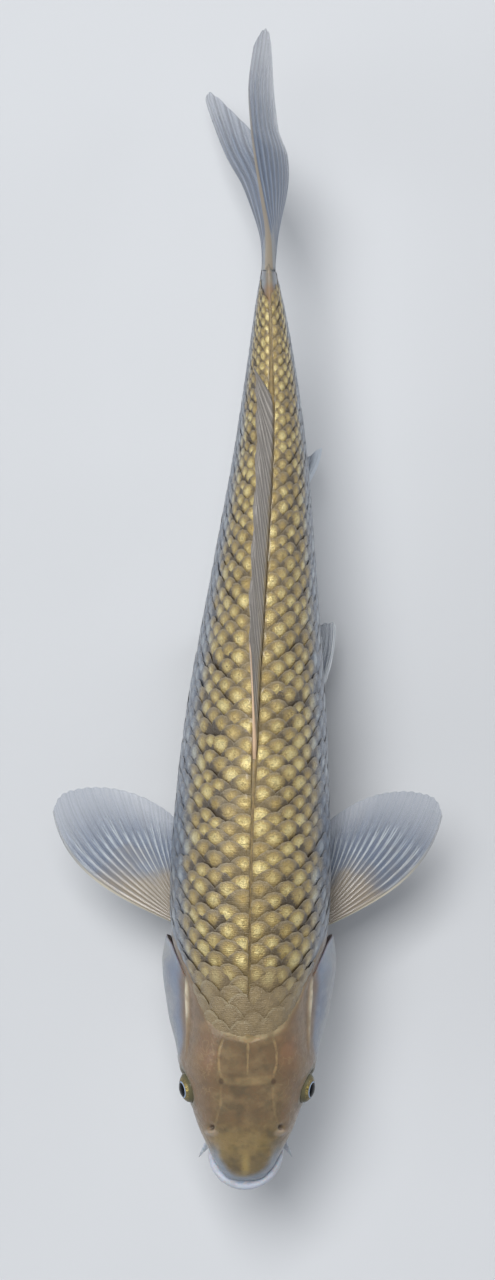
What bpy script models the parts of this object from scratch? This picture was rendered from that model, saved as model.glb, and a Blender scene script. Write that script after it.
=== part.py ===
"""Koi carp, life size, swimming, on a plain display stand.

The head points along -Y and the tail along +Y, +Z is up and +X is the fish's own left.
The origin is the middle of the stand's underside. Profiles are written in millimetres, measured
from the snout and from the level of the mouth, and are turned into metres by place().
"""

import math

import bmesh
import bpy
from mathutils import Vector

# Where the fish is held
MM = 0.001
MOUTH_HEIGHT = 94.0  # level of the mouth above the floor
STAND_FROM_SNOUT = 140.0  # the stand's middle, measured from the snout
GAP = 0.3  # clearance between pieces that touch

# The body at each station: distance from the snout, half width, back, widest level, belly
BODY_STATIONS = (
    (3.0, 0.8, 1.2, 0.0, -1.0),
    (4.0, 5.2, 5.4, 0.4, -3.6),
    (7.0, 9.3, 9.8, 0.4, -7.2),
    (12.0, 12.6, 14.2, 0.0, -11.0),
    (19.0, 15.9, 18.6, -0.6, -15.0),
    (24.0, 18.3, 21.2, -1.1, -17.4),
    (28.0, 19.8, 23.2, -1.6, -19.4),
    (40.0, 23.3, 28.4, -3.0, -24.0),
    (51.0, 26.0, 33.0, -4.0, -27.4),
    (55.0, 25.4, 34.6, -4.4, -28.6),
    (66.0, 24.8, 38.6, -5.0, -31.2),
    (80.0, 25.8, 43.2, -4.5, -34.4),
    (97.0, 30.0, 48.2, -2.5, -37.8),
    (120.0, 31.2, 52.0, -0.5, -40.8),
    (150.0, 30.0, 54.0, 1.5, -42.2),
    (185.0, 27.2, 53.0, 3.0, -41.2),
    (220.0, 22.9, 48.8, 4.0, -36.8),
    (255.0, 18.3, 41.6, 4.5, -29.4),
    (290.0, 13.6, 33.2, 4.8, -21.2),
    (320.0, 9.2, 27.0, 4.6, -16.4),
    (342.0, 5.6, 24.2, 4.3, -15.0),
    (357.0, 2.6, 24.6, 4.3, -16.4),
)
# How square the section is above and below its widest level: 2 is an ellipse
BACK_FULLNESS = ((0.0, 2.3), (30.0, 2.7), (60.0, 2.5), (100.0, 2.2), (160.0, 2.0), (357.0, 2.1))
BELLY_FULLNESS = ((0.0, 2.2), (60.0, 2.4), (120.0, 2.2), (250.0, 2.0), (357.0, 2.2))
# The swimming bend of the backbone: distance from the snout, sideways shift
SPINE_BEND = (
    (0.0, -2.6),
    (73.0, -1.2),
    (140.0, 0.0),
    (190.0, 1.9),
    (240.0, 4.8),
    (290.0, 7.3),
    (325.0, 7.4),
    (357.0, 6.5),
    (450.0, 6.5),
)
SECTION_POINTS = 28  # vertices round the body

# Where the body is parted, from the snout
HEAD_END = 62.0
SHOULDER_END = 165.0
TRUNK_END = 285.0
BODY_END = 357.0

# Eyes
EYE_FROM_SNOUT = 40.9
EYE_LEVEL = 9.5
EYE_OUT = 21.3
EYE_RADIUS = 6.5
EYE_HALF_DEPTH = 5.1  # the ball is flattened sideways

# Mouth
MOUTH_CORNER = 16.5  # distance of the mouth's corners from the snout
UPPER_LIP = {"half_width": 14.0, "reach": 15.3, "level": -0.6, "droop": 4.0, "thick": 1.5, "tall": 1.9}
LOWER_LIP = {"half_width": 12.3, "reach": 13.3, "level": -4.4, "droop": 3.2, "thick": 1.4, "tall": 1.5}
JAW_END = 44.0
JAW_TOP_AT_LIP = -0.9
JAW_TOP_AT_END = -12.9

# Gill covers: plates over the sides of the neck that stand off at their rear.
# Angles are in degrees round the body from the back
COVER_FRONT = ((64.0, 58.0), (80.0, 53.0), (105.0, 51.5), (130.0, 53.0), (154.0, 60.0))
COVER_TOP_ANGLE, COVER_LOW_ANGLE = 64.0, 154.0
COVER_REAR = ((64.0, 82.0), (72.0, 89.5), (84.0, 95.5), (98.0, 98.0), (115.0, 95.0), (135.0, 85.0), (154.0, 70.0))
COVER_STAND_OFF = ((52.0, 0.4), (60.0, 2.7), (66.0, 4.4), (74.0, 5.5), (81.0, 5.8), (89.0, 4.3), (98.0, 1.2))
COVER_THICK = 1.3

# Fins are fans of rays. Tables run across a fan, from the leading ray at 0 to the last at 1
FIN_EDGE_THICK = 0.7
PECTORAL_ROOT, PECTORAL_ANGLE = 10.0, 124.0
PECTORAL_HEADING = ((0.0, 43.5), (0.12, 47.8), (0.3, 53.8), (0.48, 60.8), (0.65, 68.5), (0.82, 78.0), (1.0, 87.5))
PECTORAL_LENGTH = ((0.0, 66.5), (0.12, 68.0), (0.3, 64.2), (0.48, 57.6), (0.65, 49.8), (0.82, 40.5), (1.0, 32.0))
PECTORAL_BOW = ((0.0, 0.135), (0.12, 0.105), (0.3, 0.07), (0.5, 0.04), (1.0, 0.02))
PECTORAL_SLOPE = -0.08  # rise for each unit outwards
PELVIC_START, PELVIC_ROOT = 172.0, 7.0
DORSAL_START, DORSAL_END = 168.0, 305.0
DORSAL_SWEEP = ((0.0, 41.0), (0.3, 36.0), (0.8, 26.0), (1.0, 12.0))
DORSAL_RISE = ((0.0, 13.0), (0.25, 12.6), (0.6, 9.8), (0.85, 6.5), (1.0, 4.0))
DORSAL_LEAN = ((0.0, 3.4), (0.1, 4.6), (0.3, 5.2), (0.6, 5.6), (0.85, 6.0), (1.0, 6.6))
ANAL_START, ANAL_END = 256.0, 281.0
ANAL_SWEEP = ((0.0, 34.0), (0.25, 22.5), (0.5, 15.5), (0.75, 11.5), (1.0, 9.5))
ANAL_LEAN = ((0.0, 20.8), (0.25, 13.2), (0.5, 9.0), (0.75, 6.5), (1.0, 4.5))
ANAL_DROP = ((0.0, 22.0), (0.25, 19.0), (0.5, 15.5), (0.75, 11.0), (1.0, 7.0))
TAIL_ROOT_TOP, TAIL_ROOT_LOW = 23.2, -15.0
TAIL_LENGTH = (
    (0.0, 86.5),
    (0.05, 90.5),
    (0.1, 92.0),
    (0.17, 90.0),
    (0.25, 82.0),
    (0.33, 68.5),
    (0.42, 51.0),
    (0.5, 44.5),
    (0.58, 46.0),
    (0.7, 52.5),
    (0.82, 70.5),
    (0.9, 85.5),
    (0.95, 91.0),
    (0.985, 89.5),
    (1.0, 85.5),
)
TAIL_ANGLE = ((0.0, 24.0), (0.1, 21.0), (0.3, 9.0), (0.5, -3.0), (0.7, -15.0), (0.92, -32.0), (1.0, -37.0))
# Sideways sweep of the tail's upper edge, fork and lower edge: distance out, shift
TAIL_UPPER = ((0.0, 0.0), (10.0, -0.1), (23.0, -2.2), (37.0, -4.8), (52.0, -6.8), (63.0, -7.5), (86.0, -4.5))
TAIL_FORK = ((0.0, 0.0), (9.0, 2.0), (20.0, 5.0), (28.0, 7.1), (36.0, 8.0), (44.0, 7.3), (51.0, 4.8), (60.0, 3.8), (92.0, 4.2))
TAIL_LOWER = ((0.0, 0.0), (13.5, -1.3), (27.0, -5.9), (36.0, -9.5), (48.0, -15.9), (61.0, -21.0), (73.0, -25.1))

# Stand
BASE_LENGTH, BASE_WIDTH, BASE_THICK = 156.0, 46.0, 12.0
BASE_CORNER = 18.0
ROD_RADIUS = 3.5
ROD_STATIONS = (100.0, 166.0)  # from the snout

COLOURS = {
    "head_skin": ((0.33, 0.25, 0.17), 0.35, 0.1),
    "body_scales": ((0.46, 0.38, 0.22), 0.3, 0.5),
    "gill_plate": ((0.45, 0.47, 0.50), 0.3, 0.1),
    "lip": ((0.62, 0.60, 0.58), 0.35, 0.0),
    "fin": ((0.48, 0.46, 0.43), 0.4, 0.0),
    "eye": ((0.03, 0.03, 0.03), 0.05, 0.0),
    "stand_paint": ((0.05, 0.05, 0.055), 0.45, 0.0),
    "stand_steel": ((0.62, 0.62, 0.63), 0.3, 1.0),
}


def between(points, x):
    """A smooth curve through (x, value) points, read at x."""
    if x <= points[0][0]:
        return points[0][1]
    if x >= points[-1][0]:
        return points[-1][1]
    steps = [(b[1] - a[1]) / (b[0] - a[0]) for a, b in zip(points, points[1:])]
    i = max(k for k in range(len(steps)) if points[k][0] <= x)

    def slope(k):
        if k == 0:
            return steps[0]
        if k == len(steps):
            return steps[-1]
        before = points[k][0] - points[k - 1][0]
        after = points[k + 1][0] - points[k][0]
        return (steps[k - 1] * after + steps[k] * before) / (before + after)

    span = points[i + 1][0] - points[i][0]
    t = (x - points[i][0]) / span
    return (
        points[i][1] * (1 + 2 * t) * (1 - t) ** 2
        + points[i + 1][1] * t * t * (3 - 2 * t)
        + slope(i) * span * t * (1 - t) ** 2
        - slope(i + 1) * span * t * t * (1 - t)
    )


def column(number):
    return tuple((row[0], row[number]) for row in BODY_STATIONS)


HALF_WIDTH, BACK, WIDEST, BELLY = (column(number) for number in (1, 2, 3, 4))


def place(side, along, height):
    """The point in metres at that distance to the fish's left, from its snout and above its mouth."""
    return Vector((
        (side + between(SPINE_BEND, along)) * MM,
        (along - STAND_FROM_SNOUT) * MM,
        (height + MOUTH_HEIGHT) * MM,
    ))


def section(along, angle, grow=0.0):
    """(side, height) on the body's outline at that station, at an angle in degrees round from the back."""
    turn = math.radians(angle)
    level = between(WIDEST, along)
    if math.cos(turn) >= 0:
        fullness, rise = between(BACK_FULLNESS, along), between(BACK, along) - level
    else:
        fullness, rise = between(BELLY_FULLNESS, along), level - between(BELLY, along)
    side = abs(math.sin(turn)) ** (2 / fullness) * (between(HALF_WIDTH, along) + grow)
    height = abs(math.cos(turn)) ** (2 / fullness) * (rise + grow)
    return math.copysign(side, math.sin(turn)), level + math.copysign(height, math.cos(turn))


def body_point(along, angle, grow=0.0):
    side, height = section(along, angle, grow)
    return place(side, along, height)


def side_at(along, height):
    """Half width of the body at that station and height."""
    level = between(WIDEST, along)
    if height >= level:
        fullness, rise = between(BACK_FULLNESS, along), between(BACK, along) - level
    else:
        fullness, rise = between(BELLY_FULLNESS, along), level - between(BELLY, along)
    share = min(1.0, abs(height - level) / rise)
    return between(HALF_WIDTH, along) * (1 - share**fullness) ** (1 / fullness)


def belly_height(along, side):
    """Height of the belly's surface over a point at that side of the midline."""
    level = between(WIDEST, along)
    fullness = between(BELLY_FULLNESS, along)
    share = min(1.0, abs(side) / between(HALF_WIDTH, along))
    return level - (level - between(BELLY, along)) * (1 - share**fullness) ** (1 / fullness)


def finish(name, bm, material, smooth_angle=40.0):
    """Makes an object of a bmesh, with its faces pointing out."""
    bmesh.ops.recalc_face_normals(bm, faces=bm.faces)
    if bm.calc_volume(signed=True) < 0:
        bmesh.ops.reverse_faces(bm, faces=bm.faces)
    mesh = bpy.data.meshes.new(name)
    bm.to_mesh(mesh)
    bm.free()
    mesh.shade_smooth()
    mesh.set_sharp_from_angle(angle=math.radians(smooth_angle))
    mesh.materials.append(paint(material))
    obj = bpy.data.objects.new(name, mesh)
    bpy.context.scene.collection.objects.link(obj)
    return obj


def paint(name):
    """The Principled material of that name."""
    material = bpy.data.materials.get(name)
    if material:
        return material
    colour, roughness, metallic = COLOURS[name]
    material = bpy.data.materials.new(name)
    material.use_nodes = True
    shader = material.node_tree.nodes["Principled BSDF"]
    shader.inputs["Base Color"].default_value = (*colour, 1.0)
    shader.inputs["Roughness"].default_value = roughness
    shader.inputs["Metallic"].default_value = metallic
    return material


def tube(name, rings, material):
    """A closed skin over rings of points: the first ring is filled and pushed out ring by ring."""
    bm = bmesh.new()
    face = bm.faces.new([bm.verts.new(point) for point in rings[0]])
    for ring in rings[1:]:
        made = bmesh.ops.extrude_face_region(bm, geom=[face, *face.edges])["geom"]
        face = next(item for item in made if isinstance(item, bmesh.types.BMFace))
        for vert, point in zip(face.verts, ring):
            vert.co = point
    return finish(name, bm, material)


def plate(name, steps, surface, thickness, material):
    """A closed plate: a grid laid on surface(u, v), pushed out to thickness(u, v) about it."""
    bm = bmesh.new()
    bmesh.ops.create_grid(bm, x_segments=steps[0], y_segments=steps[1], size=0.5)
    made = bmesh.ops.extrude_face_region(bm, geom=bm.faces[:])["geom"]
    upper = {item for item in made if isinstance(item, bmesh.types.BMVert)}
    nudge = 1e-3
    for vert in bm.verts:
        u, v = vert.co.x + 0.5, vert.co.y + 0.5
        across = surface(min(1, u + nudge), v) - surface(max(0, u - nudge), v)
        along = surface(u, min(1, v + nudge)) - surface(u, max(0, v - nudge))
        offset = across.cross(along).normalized() * thickness(u, v) * MM / 2
        vert.co = surface(u, v) + (offset if vert in upper else -offset)
    return finish(name, bm, material)


def cut(obj, cutter, operation="DIFFERENCE"):
    """Cuts obj with another object, which is then only a guide."""
    modifier = obj.modifiers.new("cut_" + cutter.name, "BOOLEAN")
    modifier.operation = operation
    modifier.object = cutter
    cutter.hide_render = True
    cutter.display_type = "WIRE"


def body_length(name, start, end, rings, material):
    """A length of the body between two stations, with flat ends."""
    loops = []
    for i in range(rings + 1):
        along = start + (end - start) * i / rings
        loops.append([body_point(along, 360 * k / SECTION_POINTS) for k in range(SECTION_POINTS)])
    return tube(name, loops, material)


def snout_rings(grow=0.0):
    """Rings of the head from the snout to the nape, set closer where the snout rounds off."""
    rings = 15
    loops = []
    for i in range(rings + 1):
        along = BODY_STATIONS[0][0] + (HEAD_END - BODY_STATIONS[0][0]) * (i / rings) ** 1.6
        loops.append([body_point(along, 360 * k / SECTION_POINTS, grow) for k in range(SECTION_POINTS)])
    return loops


def lip_rings(lip, grow=0.0):
    """Rings of a lip: an oval bead bent round the front of the mouth."""
    turns, sides, spread = 16, 8, 84.0
    loops = []
    for i in range(turns + 1):
        bend = math.radians(spread * (2 * i / turns - 1))
        taper = 0.45 + 0.55 * math.cos(bend) ** 0.5
        out, along = math.sin(bend), -math.cos(bend)
        drop = lip["level"] - lip["droop"] * (1 - math.cos(bend))
        ring = []
        for k in range(sides):
            turn = 2 * math.pi * k / sides
            thick = (lip["thick"] * taper + grow) * math.cos(turn)
            tall = (lip["tall"] * taper + grow) * math.sin(turn)
            ring.append(place(
                (lip["half_width"] + thick) * out,
                MOUTH_CORNER + (lip["reach"] + thick) * along,
                drop + tall,
            ))
        loops.append(ring)
    return loops


def jaw_wedge(name, lift):
    """A block under the mouth line, which slopes down and back from the lips."""
    corners = (
        (-6.0, JAW_TOP_AT_LIP + lift),
        (JAW_END + lift, JAW_TOP_AT_END + lift),
        (JAW_END + lift, -60.0),
        (-6.0, -60.0),
    )
    sides = [[place(x, along, height) for along, height in corners] for x in (-40.0, 40.0)]
    return tube(name, sides, "head_skin")


def make_head():
    """The head, with sockets for the eyes and seats for the lips, and the lower jaw cut from it."""
    head = tube("head", snout_rings(), "head_skin")
    jaw = tube("lower_jaw", snout_rings(), "head_skin")
    cut(head, jaw_wedge("jaw_room", GAP))
    cut(jaw, jaw_wedge("jaw_block", 0.0), "INTERSECT")
    for name, lip in (("upper_lip", UPPER_LIP), ("lower_lip", LOWER_LIP)):
        tube(name, lip_rings(lip), "lip")
        room = tube(name + "_room", lip_rings(lip, GAP), "lip")
        cut(head, room)
        cut(jaw, room)
    for side, word in ((1, "left"), (-1, "right")):
        centre = place(side * EYE_OUT, EYE_FROM_SNOUT, EYE_LEVEL)
        eyeball("eye_" + word, centre, 0.0)
        cut(head, eyeball("socket_" + word, centre, GAP))
        make_cover(side, "gill_cover_" + word)
        make_barbel("barbel_rear_" + word, side, (15.4, 16.6, -7.4), (2.8, -5.8, -7.0), 1.3)
        make_barbel("barbel_front_" + word, side, (13.3, 11.2, -5.8), (0.3, -1.2, -4.6), 0.6)


def eyeball(name, centre, grow):
    bm = bmesh.new()
    bmesh.ops.create_uvsphere(bm, u_segments=14, v_segments=9, radius=MM)
    radius = EYE_RADIUS + grow
    bmesh.ops.scale(bm, verts=bm.verts, vec=(EYE_HALF_DEPTH + grow, radius, radius))
    bmesh.ops.translate(bm, verts=bm.verts, vec=centre)
    return finish(name, bm, "eye", 80.0)


def make_barbel(name, side, root, reach, radius):
    """A short tapering feeler that starts just clear of the lip and droops towards its tip."""
    steps, sides = 5, 6
    loops = []
    for i in range(steps + 1):
        t = i / steps
        centre = [root[k] + reach[k] * t for k in range(3)]
        centre[0] += 0.2 * math.sin(math.pi * t)
        size = radius * (1 - 0.72 * t)
        ring = []
        for k in range(sides):
            turn = 2 * math.pi * k / sides
            ring.append(place(
                side * (centre[0] + size * math.cos(turn)),
                centre[1] + size * math.sin(turn) * 0.8,
                centre[2] + size * math.sin(turn) * 0.6,
            ))
        loops.append(ring)
    tube(name, loops, "lip")


def make_cover(side, name):
    """A gill cover: a plate over the side of the neck, close to the head in front and flared behind."""

    def surface(u, v):
        angle = COVER_TOP_ANGLE + (COVER_LOW_ANGLE - COVER_TOP_ANGLE) * v
        along = between(COVER_FRONT, angle) * (1 - u) + between(COVER_REAR, angle) * u
        swell = math.sin(math.pi * v) ** 0.5 if v > 0 else 0.0
        off = GAP + COVER_THICK / 2 + 0.35 + between(COVER_STAND_OFF, along) * abs(swell)
        return body_point(along, side * angle, off)

    def thickness(u, v):
        return COVER_THICK * (1 - 0.5 * u**3) * (0.6 + 0.4 * math.sin(math.pi * v))

    plate(name, (8, 9), surface, thickness, "gill_plate")


def make_pectoral(side, name, first, spread):
    """A spread pectoral fin: rays fan out and back from a short root behind the gill cover."""

    def surface(u, v):
        start = first + PECTORAL_ROOT * u
        root_side, root_height = section(start, PECTORAL_ANGLE, GAP + 1.0)
        heading = math.radians(between(PECTORAL_HEADING, u))
        length = between(PECTORAL_LENGTH, u)
        bow = v * (1 - v) * (2 + 3.4 * v) * between(PECTORAL_BOW, u)
        out = length * (v * math.cos(heading) + bow * math.sin(heading)) * spread
        along = start + length * (v * math.sin(heading) - bow * math.cos(heading))
        height = root_height + PECTORAL_SLOPE * out + 2.5 * math.sin(math.pi * u) * v
        clear = side_at(along, height) + GAP + thickness(u, v) / 2 + 0.4
        return place(side * max(root_side + out, clear), along, height)

    def thickness(u, v):
        return FIN_EDGE_THICK + (2.2 - 1.2 * u) * (1 - v) ** 2 + 0.5 * (1 - u) ** 6

    plate(name, (11, 8), surface, thickness, "fin")


def make_pelvic(side, name, heading, length, drop):
    """A pelvic fin, held back and down beside the vent, with its leading ray on that heading."""

    def surface(u, v):
        start = PELVIC_START + PELVIC_ROOT * u
        half = 11.5 - 4.5 * u
        ray = length * (1 - 0.45 * u**1.5)
        turn = math.radians(heading + 6.0 * u)
        bow = 0.48 * v * (1 - v) * (1 - 0.6 * u)
        out = ray * (v * math.cos(turn) + bow * math.sin(turn)) * (1 - 0.75 * u)
        back = ray * (v * math.sin(turn) - bow * math.cos(turn))
        height = belly_height(start, half) - GAP - 0.9 - drop * v * (0.8 + 0.2 * u)
        return place(side * (half + out), start + back, height)

    def thickness(u, v):
        return FIN_EDGE_THICK + 1.3 * (1 - v) ** 2

    plate(name, (8, 7), surface, thickness, "fin")


def make_dorsal():
    """The dorsal fin, folded back and leaning to the fish's right."""

    def surface(u, v):
        start = DORSAL_START + (DORSAL_END - DORSAL_START) * u
        along = start + between(DORSAL_SWEEP, u) * v
        root = between(BACK, start) * (1 - v) + between(BACK, along) * v
        rise = between(DORSAL_RISE, u) * v**0.9
        return place(-between(DORSAL_LEAN, u) * v**1.1, along, root + GAP + 0.7 + rise)

    def thickness(u, v):
        return FIN_EDGE_THICK + (1.2 + 2.6 * min(1.0, u / 0.06) - 2.2 * u) * (1 - v) ** 1.5

    plate("dorsal_fin", (17, 5), surface, thickness, "fin")


def make_anal():
    """The anal fin, leaning to the fish's left."""

    def surface(u, v):
        start = ANAL_START + (ANAL_END - ANAL_START) * u
        root = between(BELLY, start) - GAP - 0.6
        lean = between(ANAL_LEAN, u) * (1 - (1 - v) ** 1.8)
        return place(lean, start + between(ANAL_SWEEP, u) * v, root - between(ANAL_DROP, u) * v)

    def thickness(u, v):
        return FIN_EDGE_THICK + 1.2 * (1 - v) ** 2

    plate("anal_fin", (7, 7), surface, thickness, "fin")


def tail_point(share, v):
    """A point of the tail fin: share runs from its upper edge to its lower one, v out along a ray."""
    angle = math.radians(between(TAIL_ANGLE, share))
    length = between(TAIL_LENGTH, share) * v
    root = TAIL_ROOT_TOP + (TAIL_ROOT_LOW - TAIL_ROOT_TOP) * share
    back = length * math.cos(angle)
    edge, hollow = (TAIL_UPPER, 1.0) if share < 0.5 else (TAIL_LOWER, 1.7)
    edge = between(edge, back)
    side = edge + (between(TAIL_FORK, back) - edge) * abs(math.sin(math.pi * share)) ** hollow
    return place(side, BODY_END + GAP + 0.2 + back, root + length * math.sin(angle))


def make_tail():
    """The tail fin in two lobes, cupped and swept by the swimming stroke."""
    half_gap = 0.006
    for name, first, last in (
        ("tail_fin_upper", 0.0, 0.5 - half_gap),
        ("tail_fin_lower", 0.5 + half_gap, 1.0),
    ):

        def surface(u, v, first=first, last=last):
            return tail_point(first + (last - first) * u, v)

        def thickness(u, v):
            return FIN_EDGE_THICK + 3.2 * (1 - v) ** 3

        plate(name, (12, 9), surface, thickness, "fin")


def make_stand():
    """A flat base with rounded corners and two rods, cut to the curve of the belly."""
    bm = bmesh.new()
    bmesh.ops.create_cube(bm, size=1.0)
    bmesh.ops.scale(bm, verts=bm.verts, vec=(BASE_WIDTH * MM, BASE_LENGTH * MM, BASE_THICK * MM))
    bmesh.ops.translate(bm, verts=bm.verts, vec=(0, 0, BASE_THICK * MM / 2))
    upright = [e for e in bm.edges if abs(e.verts[0].co.z - e.verts[1].co.z) > BASE_THICK * MM / 2]
    bmesh.ops.bevel(bm, geom=upright, offset=BASE_CORNER * MM, segments=7, affect="EDGES", profile=0.5)
    top = BASE_THICK * MM
    rim = [e for e in bm.edges if all(abs(v.co.z - top) < 1e-6 for v in e.verts)]
    bmesh.ops.bevel(bm, geom=rim, offset=1.5 * MM, segments=2, affect="EDGES", profile=0.5)
    finish("stand_base", bm, "stand_paint")
    sides = 16
    for name, station in zip(("stand_rod_front", "stand_rod_rear"), ROD_STATIONS):
        foot, head = [], []
        middle = -between(SPINE_BEND, station)
        for k in range(sides):
            turn = 2 * math.pi * k / sides
            x = middle + ROD_RADIUS * math.cos(turn)
            along = station + ROD_RADIUS * math.sin(turn)
            foot.append(place(x, along, BASE_THICK - MOUTH_HEIGHT + GAP))
            head.append(place(x, along, belly_height(along, x) - GAP))
        tube(name, [foot, head], "stand_steel")


def main():
    for obj in list(bpy.data.objects):
        bpy.data.objects.remove(obj)
    make_head()
    body_length("shoulders", HEAD_END + GAP, SHOULDER_END, 12, "body_scales")
    body_length("trunk", SHOULDER_END + GAP, TRUNK_END, 10, "body_scales")
    body_length("tail_stalk", TRUNK_END + GAP, BODY_END, 8, "body_scales")
    make_pectoral(1, "pectoral_fin_left", 98.2, 1.0)
    make_pectoral(-1, "pectoral_fin_right", 99.8, 1.07)
    make_pelvic(1, "pelvic_fin_left", 69.0, 51.0, 8.0)
    make_pelvic(-1, "pelvic_fin_right", 80.0, 49.0, 14.0)
    make_dorsal()
    make_anal()
    make_tail()
    make_stand()


main()
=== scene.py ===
import math

import bmesh
import bpy
import numpy as np
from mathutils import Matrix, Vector


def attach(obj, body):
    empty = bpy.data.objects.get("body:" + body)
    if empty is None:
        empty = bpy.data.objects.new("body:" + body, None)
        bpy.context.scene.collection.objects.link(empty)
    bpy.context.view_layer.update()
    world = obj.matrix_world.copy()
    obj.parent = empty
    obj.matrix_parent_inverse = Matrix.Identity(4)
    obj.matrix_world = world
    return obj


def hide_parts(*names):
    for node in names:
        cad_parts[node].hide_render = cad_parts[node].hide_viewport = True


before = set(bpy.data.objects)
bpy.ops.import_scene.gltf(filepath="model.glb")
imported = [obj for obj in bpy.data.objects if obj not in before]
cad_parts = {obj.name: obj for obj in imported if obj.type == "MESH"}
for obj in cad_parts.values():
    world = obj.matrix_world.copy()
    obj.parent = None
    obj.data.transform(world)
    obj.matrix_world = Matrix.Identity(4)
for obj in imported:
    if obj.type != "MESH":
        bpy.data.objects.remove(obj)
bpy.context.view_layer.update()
print("frame loaded")

# Distances along the fish are in millimetres from the snout, heights are from the level of the mouth.
# +X is the fish's left, its head points to -Y.

held = {"mouthHeight": 94.0, "standFromSnout": 140.0}
bodyEnds = {"snout": 3.0, "tail": 357.0}
mapSize = {"wide": 200.0, "long": 400.0, "eye": 13.0}  # what one whole map covers

body = {
    # from the snout: half width, back, widest level, belly
    "stations": [
        (3.0, 0.8, 1.2, 0.0, -1.0),
        (4.0, 5.2, 5.4, 0.4, -3.6),
        (7.0, 9.3, 9.8, 0.4, -7.2),
        (12.0, 12.6, 14.2, 0.0, -11.0),
        (19.0, 15.9, 18.6, -0.6, -15.0),
        (24.0, 18.3, 21.2, -1.1, -17.4),
        (28.0, 19.8, 23.2, -1.6, -19.4),
        (40.0, 23.3, 28.4, -3.0, -24.0),
        (51.0, 26.0, 33.0, -4.0, -27.4),
        (55.0, 25.4, 34.6, -4.4, -28.6),
        (66.0, 24.8, 38.6, -5.0, -31.2),
        (80.0, 25.8, 43.2, -4.5, -34.4),
        (97.0, 30.0, 48.2, -2.5, -37.8),
        (120.0, 31.2, 52.0, -0.5, -40.8),
        (150.0, 30.0, 54.0, 1.5, -42.2),
        (185.0, 27.2, 53.0, 3.0, -41.2),
        (220.0, 22.9, 48.8, 4.0, -36.8),
        (255.0, 18.3, 41.6, 4.5, -29.4),
        (290.0, 13.6, 33.2, 4.8, -21.2),
        (320.0, 9.2, 27.0, 4.6, -16.4),
        (342.0, 5.6, 24.2, 4.3, -15.0),
        (357.0, 2.6, 24.6, 4.3, -16.4),
    ],
    # 2 is an ellipse, more is squarer
    "backFullness": [(0, 2.3), (30, 2.7), (60, 2.5), (100, 2.2), (160, 2.0), (357, 2.1)],
    "bellyFullness": [(0, 2.2), (60, 2.4), (120, 2.2), (250, 2.0), (357, 2.2)],
    "bend": [
        (0, -2.6), (73, -1.2), (140, 0.0), (190, 1.9), (240, 4.8), (290, 7.3), (325, 7.4), (357, 6.5),
        (450, 6.5),
    ],
}


def curve(points):
    # a smooth curve through points, for numbers and arrays
    px = np.array([p[0] for p in points], float)
    py = np.array([p[1] for p in points], float)
    gap = np.diff(px)
    step = np.diff(py) / gap
    slope = np.empty(len(px))
    slope[0], slope[-1] = step[0], step[-1]
    slope[1:-1] = (step[:-1] * gap[1:] + step[1:] * gap[:-1]) / (gap[:-1] + gap[1:])

    def read(x):
        x = np.clip(x, px[0], px[-1])
        i = np.clip(np.searchsorted(px, x, side="right") - 1, 0, len(px) - 2)
        t = (x - px[i]) / gap[i]
        return (
            py[i] * (1 + 2 * t) * (1 - t) ** 2
            + py[i + 1] * t * t * (3 - 2 * t)
            + slope[i] * gap[i] * t * (1 - t) ** 2
            - slope[i + 1] * gap[i] * t * t * (1 - t)
        )

    return read


def straight(points):
    # straight runs between points
    px, py = zip(*points)
    return lambda x: np.interp(x, px, py)


def smoothStep(x, low, high):
    t = np.clip((x - low) / (high - low), 0.0, 1.0)
    return t * t * (3 - 2 * t)


def stepDown(x, low, high):
    return 1 - smoothStep(x, low, high)


def hump(x, wide):
    return np.exp(-((x / wide) ** 2))


halfWidth, back, widest, belly = (curve([(r[0], r[n]) for r in body["stations"]]) for n in (1, 2, 3, 4))
backFullness, bellyFullness, bend = (curve(body[n]) for n in ("backFullness", "bellyFullness", "bend"))


def place(side, along, height):
    side, along, height = np.broadcast_arrays(side, along, height)
    return np.stack(
        (
            (side + bend(along)) * 0.001,
            (along - held["standFromSnout"]) * 0.001,
            (height + held["mouthHeight"]) * 0.001,
        ),
        axis=-1,
    )


def section(along, angle):
    # side and height of the body's outline, angle in degrees from the back down the side
    turn = np.radians(angle)
    level = widest(along)
    upper = np.cos(turn) >= 0
    power = 2 / np.where(upper, backFullness(along), bellyFullness(along))
    rise = np.where(upper, back(along) - level, level - belly(along))
    side = np.abs(np.sin(turn)) ** power * halfWidth(along)
    height = np.abs(np.cos(turn)) ** power * rise
    return side, level + np.where(upper, height, -height)


# Table of the outline's angle against the share of the way round from back to belly
girth = {
    "stations": np.arange(bodyEnds["snout"], bodyEnds["tail"] + 0.6, 0.5),
    "shares": np.linspace(0, 1, 121),
}


def measureGirth():
    angles = np.linspace(0, 180, 241)
    length, table = [], []
    for station in girth["stations"]:
        side, height = section(np.full(241, station), angles)
        run = np.concatenate(([0], np.cumsum(np.hypot(np.diff(side), np.diff(height)))))
        length.append(run[-1])
        table.append(np.interp(girth["shares"], run / run[-1], angles))
    girth["half"] = np.array(length)
    girth["angles"] = np.array(table)


measureGirth()


def halfGirth(along):
    return np.interp(along, girth["stations"], girth["half"])


def angleAt(along, share):
    # the outline's angle at a share of the way from back to belly
    row = np.clip((along - bodyEnds["snout"]) / 0.5, 0, len(girth["stations"]) - 1.001)
    column = np.clip(share, 0, 1) * 119.999
    i, j = row.astype(int), column.astype(int)
    fr, fc = row - i, column - j
    a = girth["angles"]
    near = a[i, j] * (1 - fc) + a[i, j + 1] * fc
    far = a[i + 1, j] * (1 - fc) + a[i + 1, j + 1] * fc
    return near * (1 - fr) + far * fr


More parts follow.
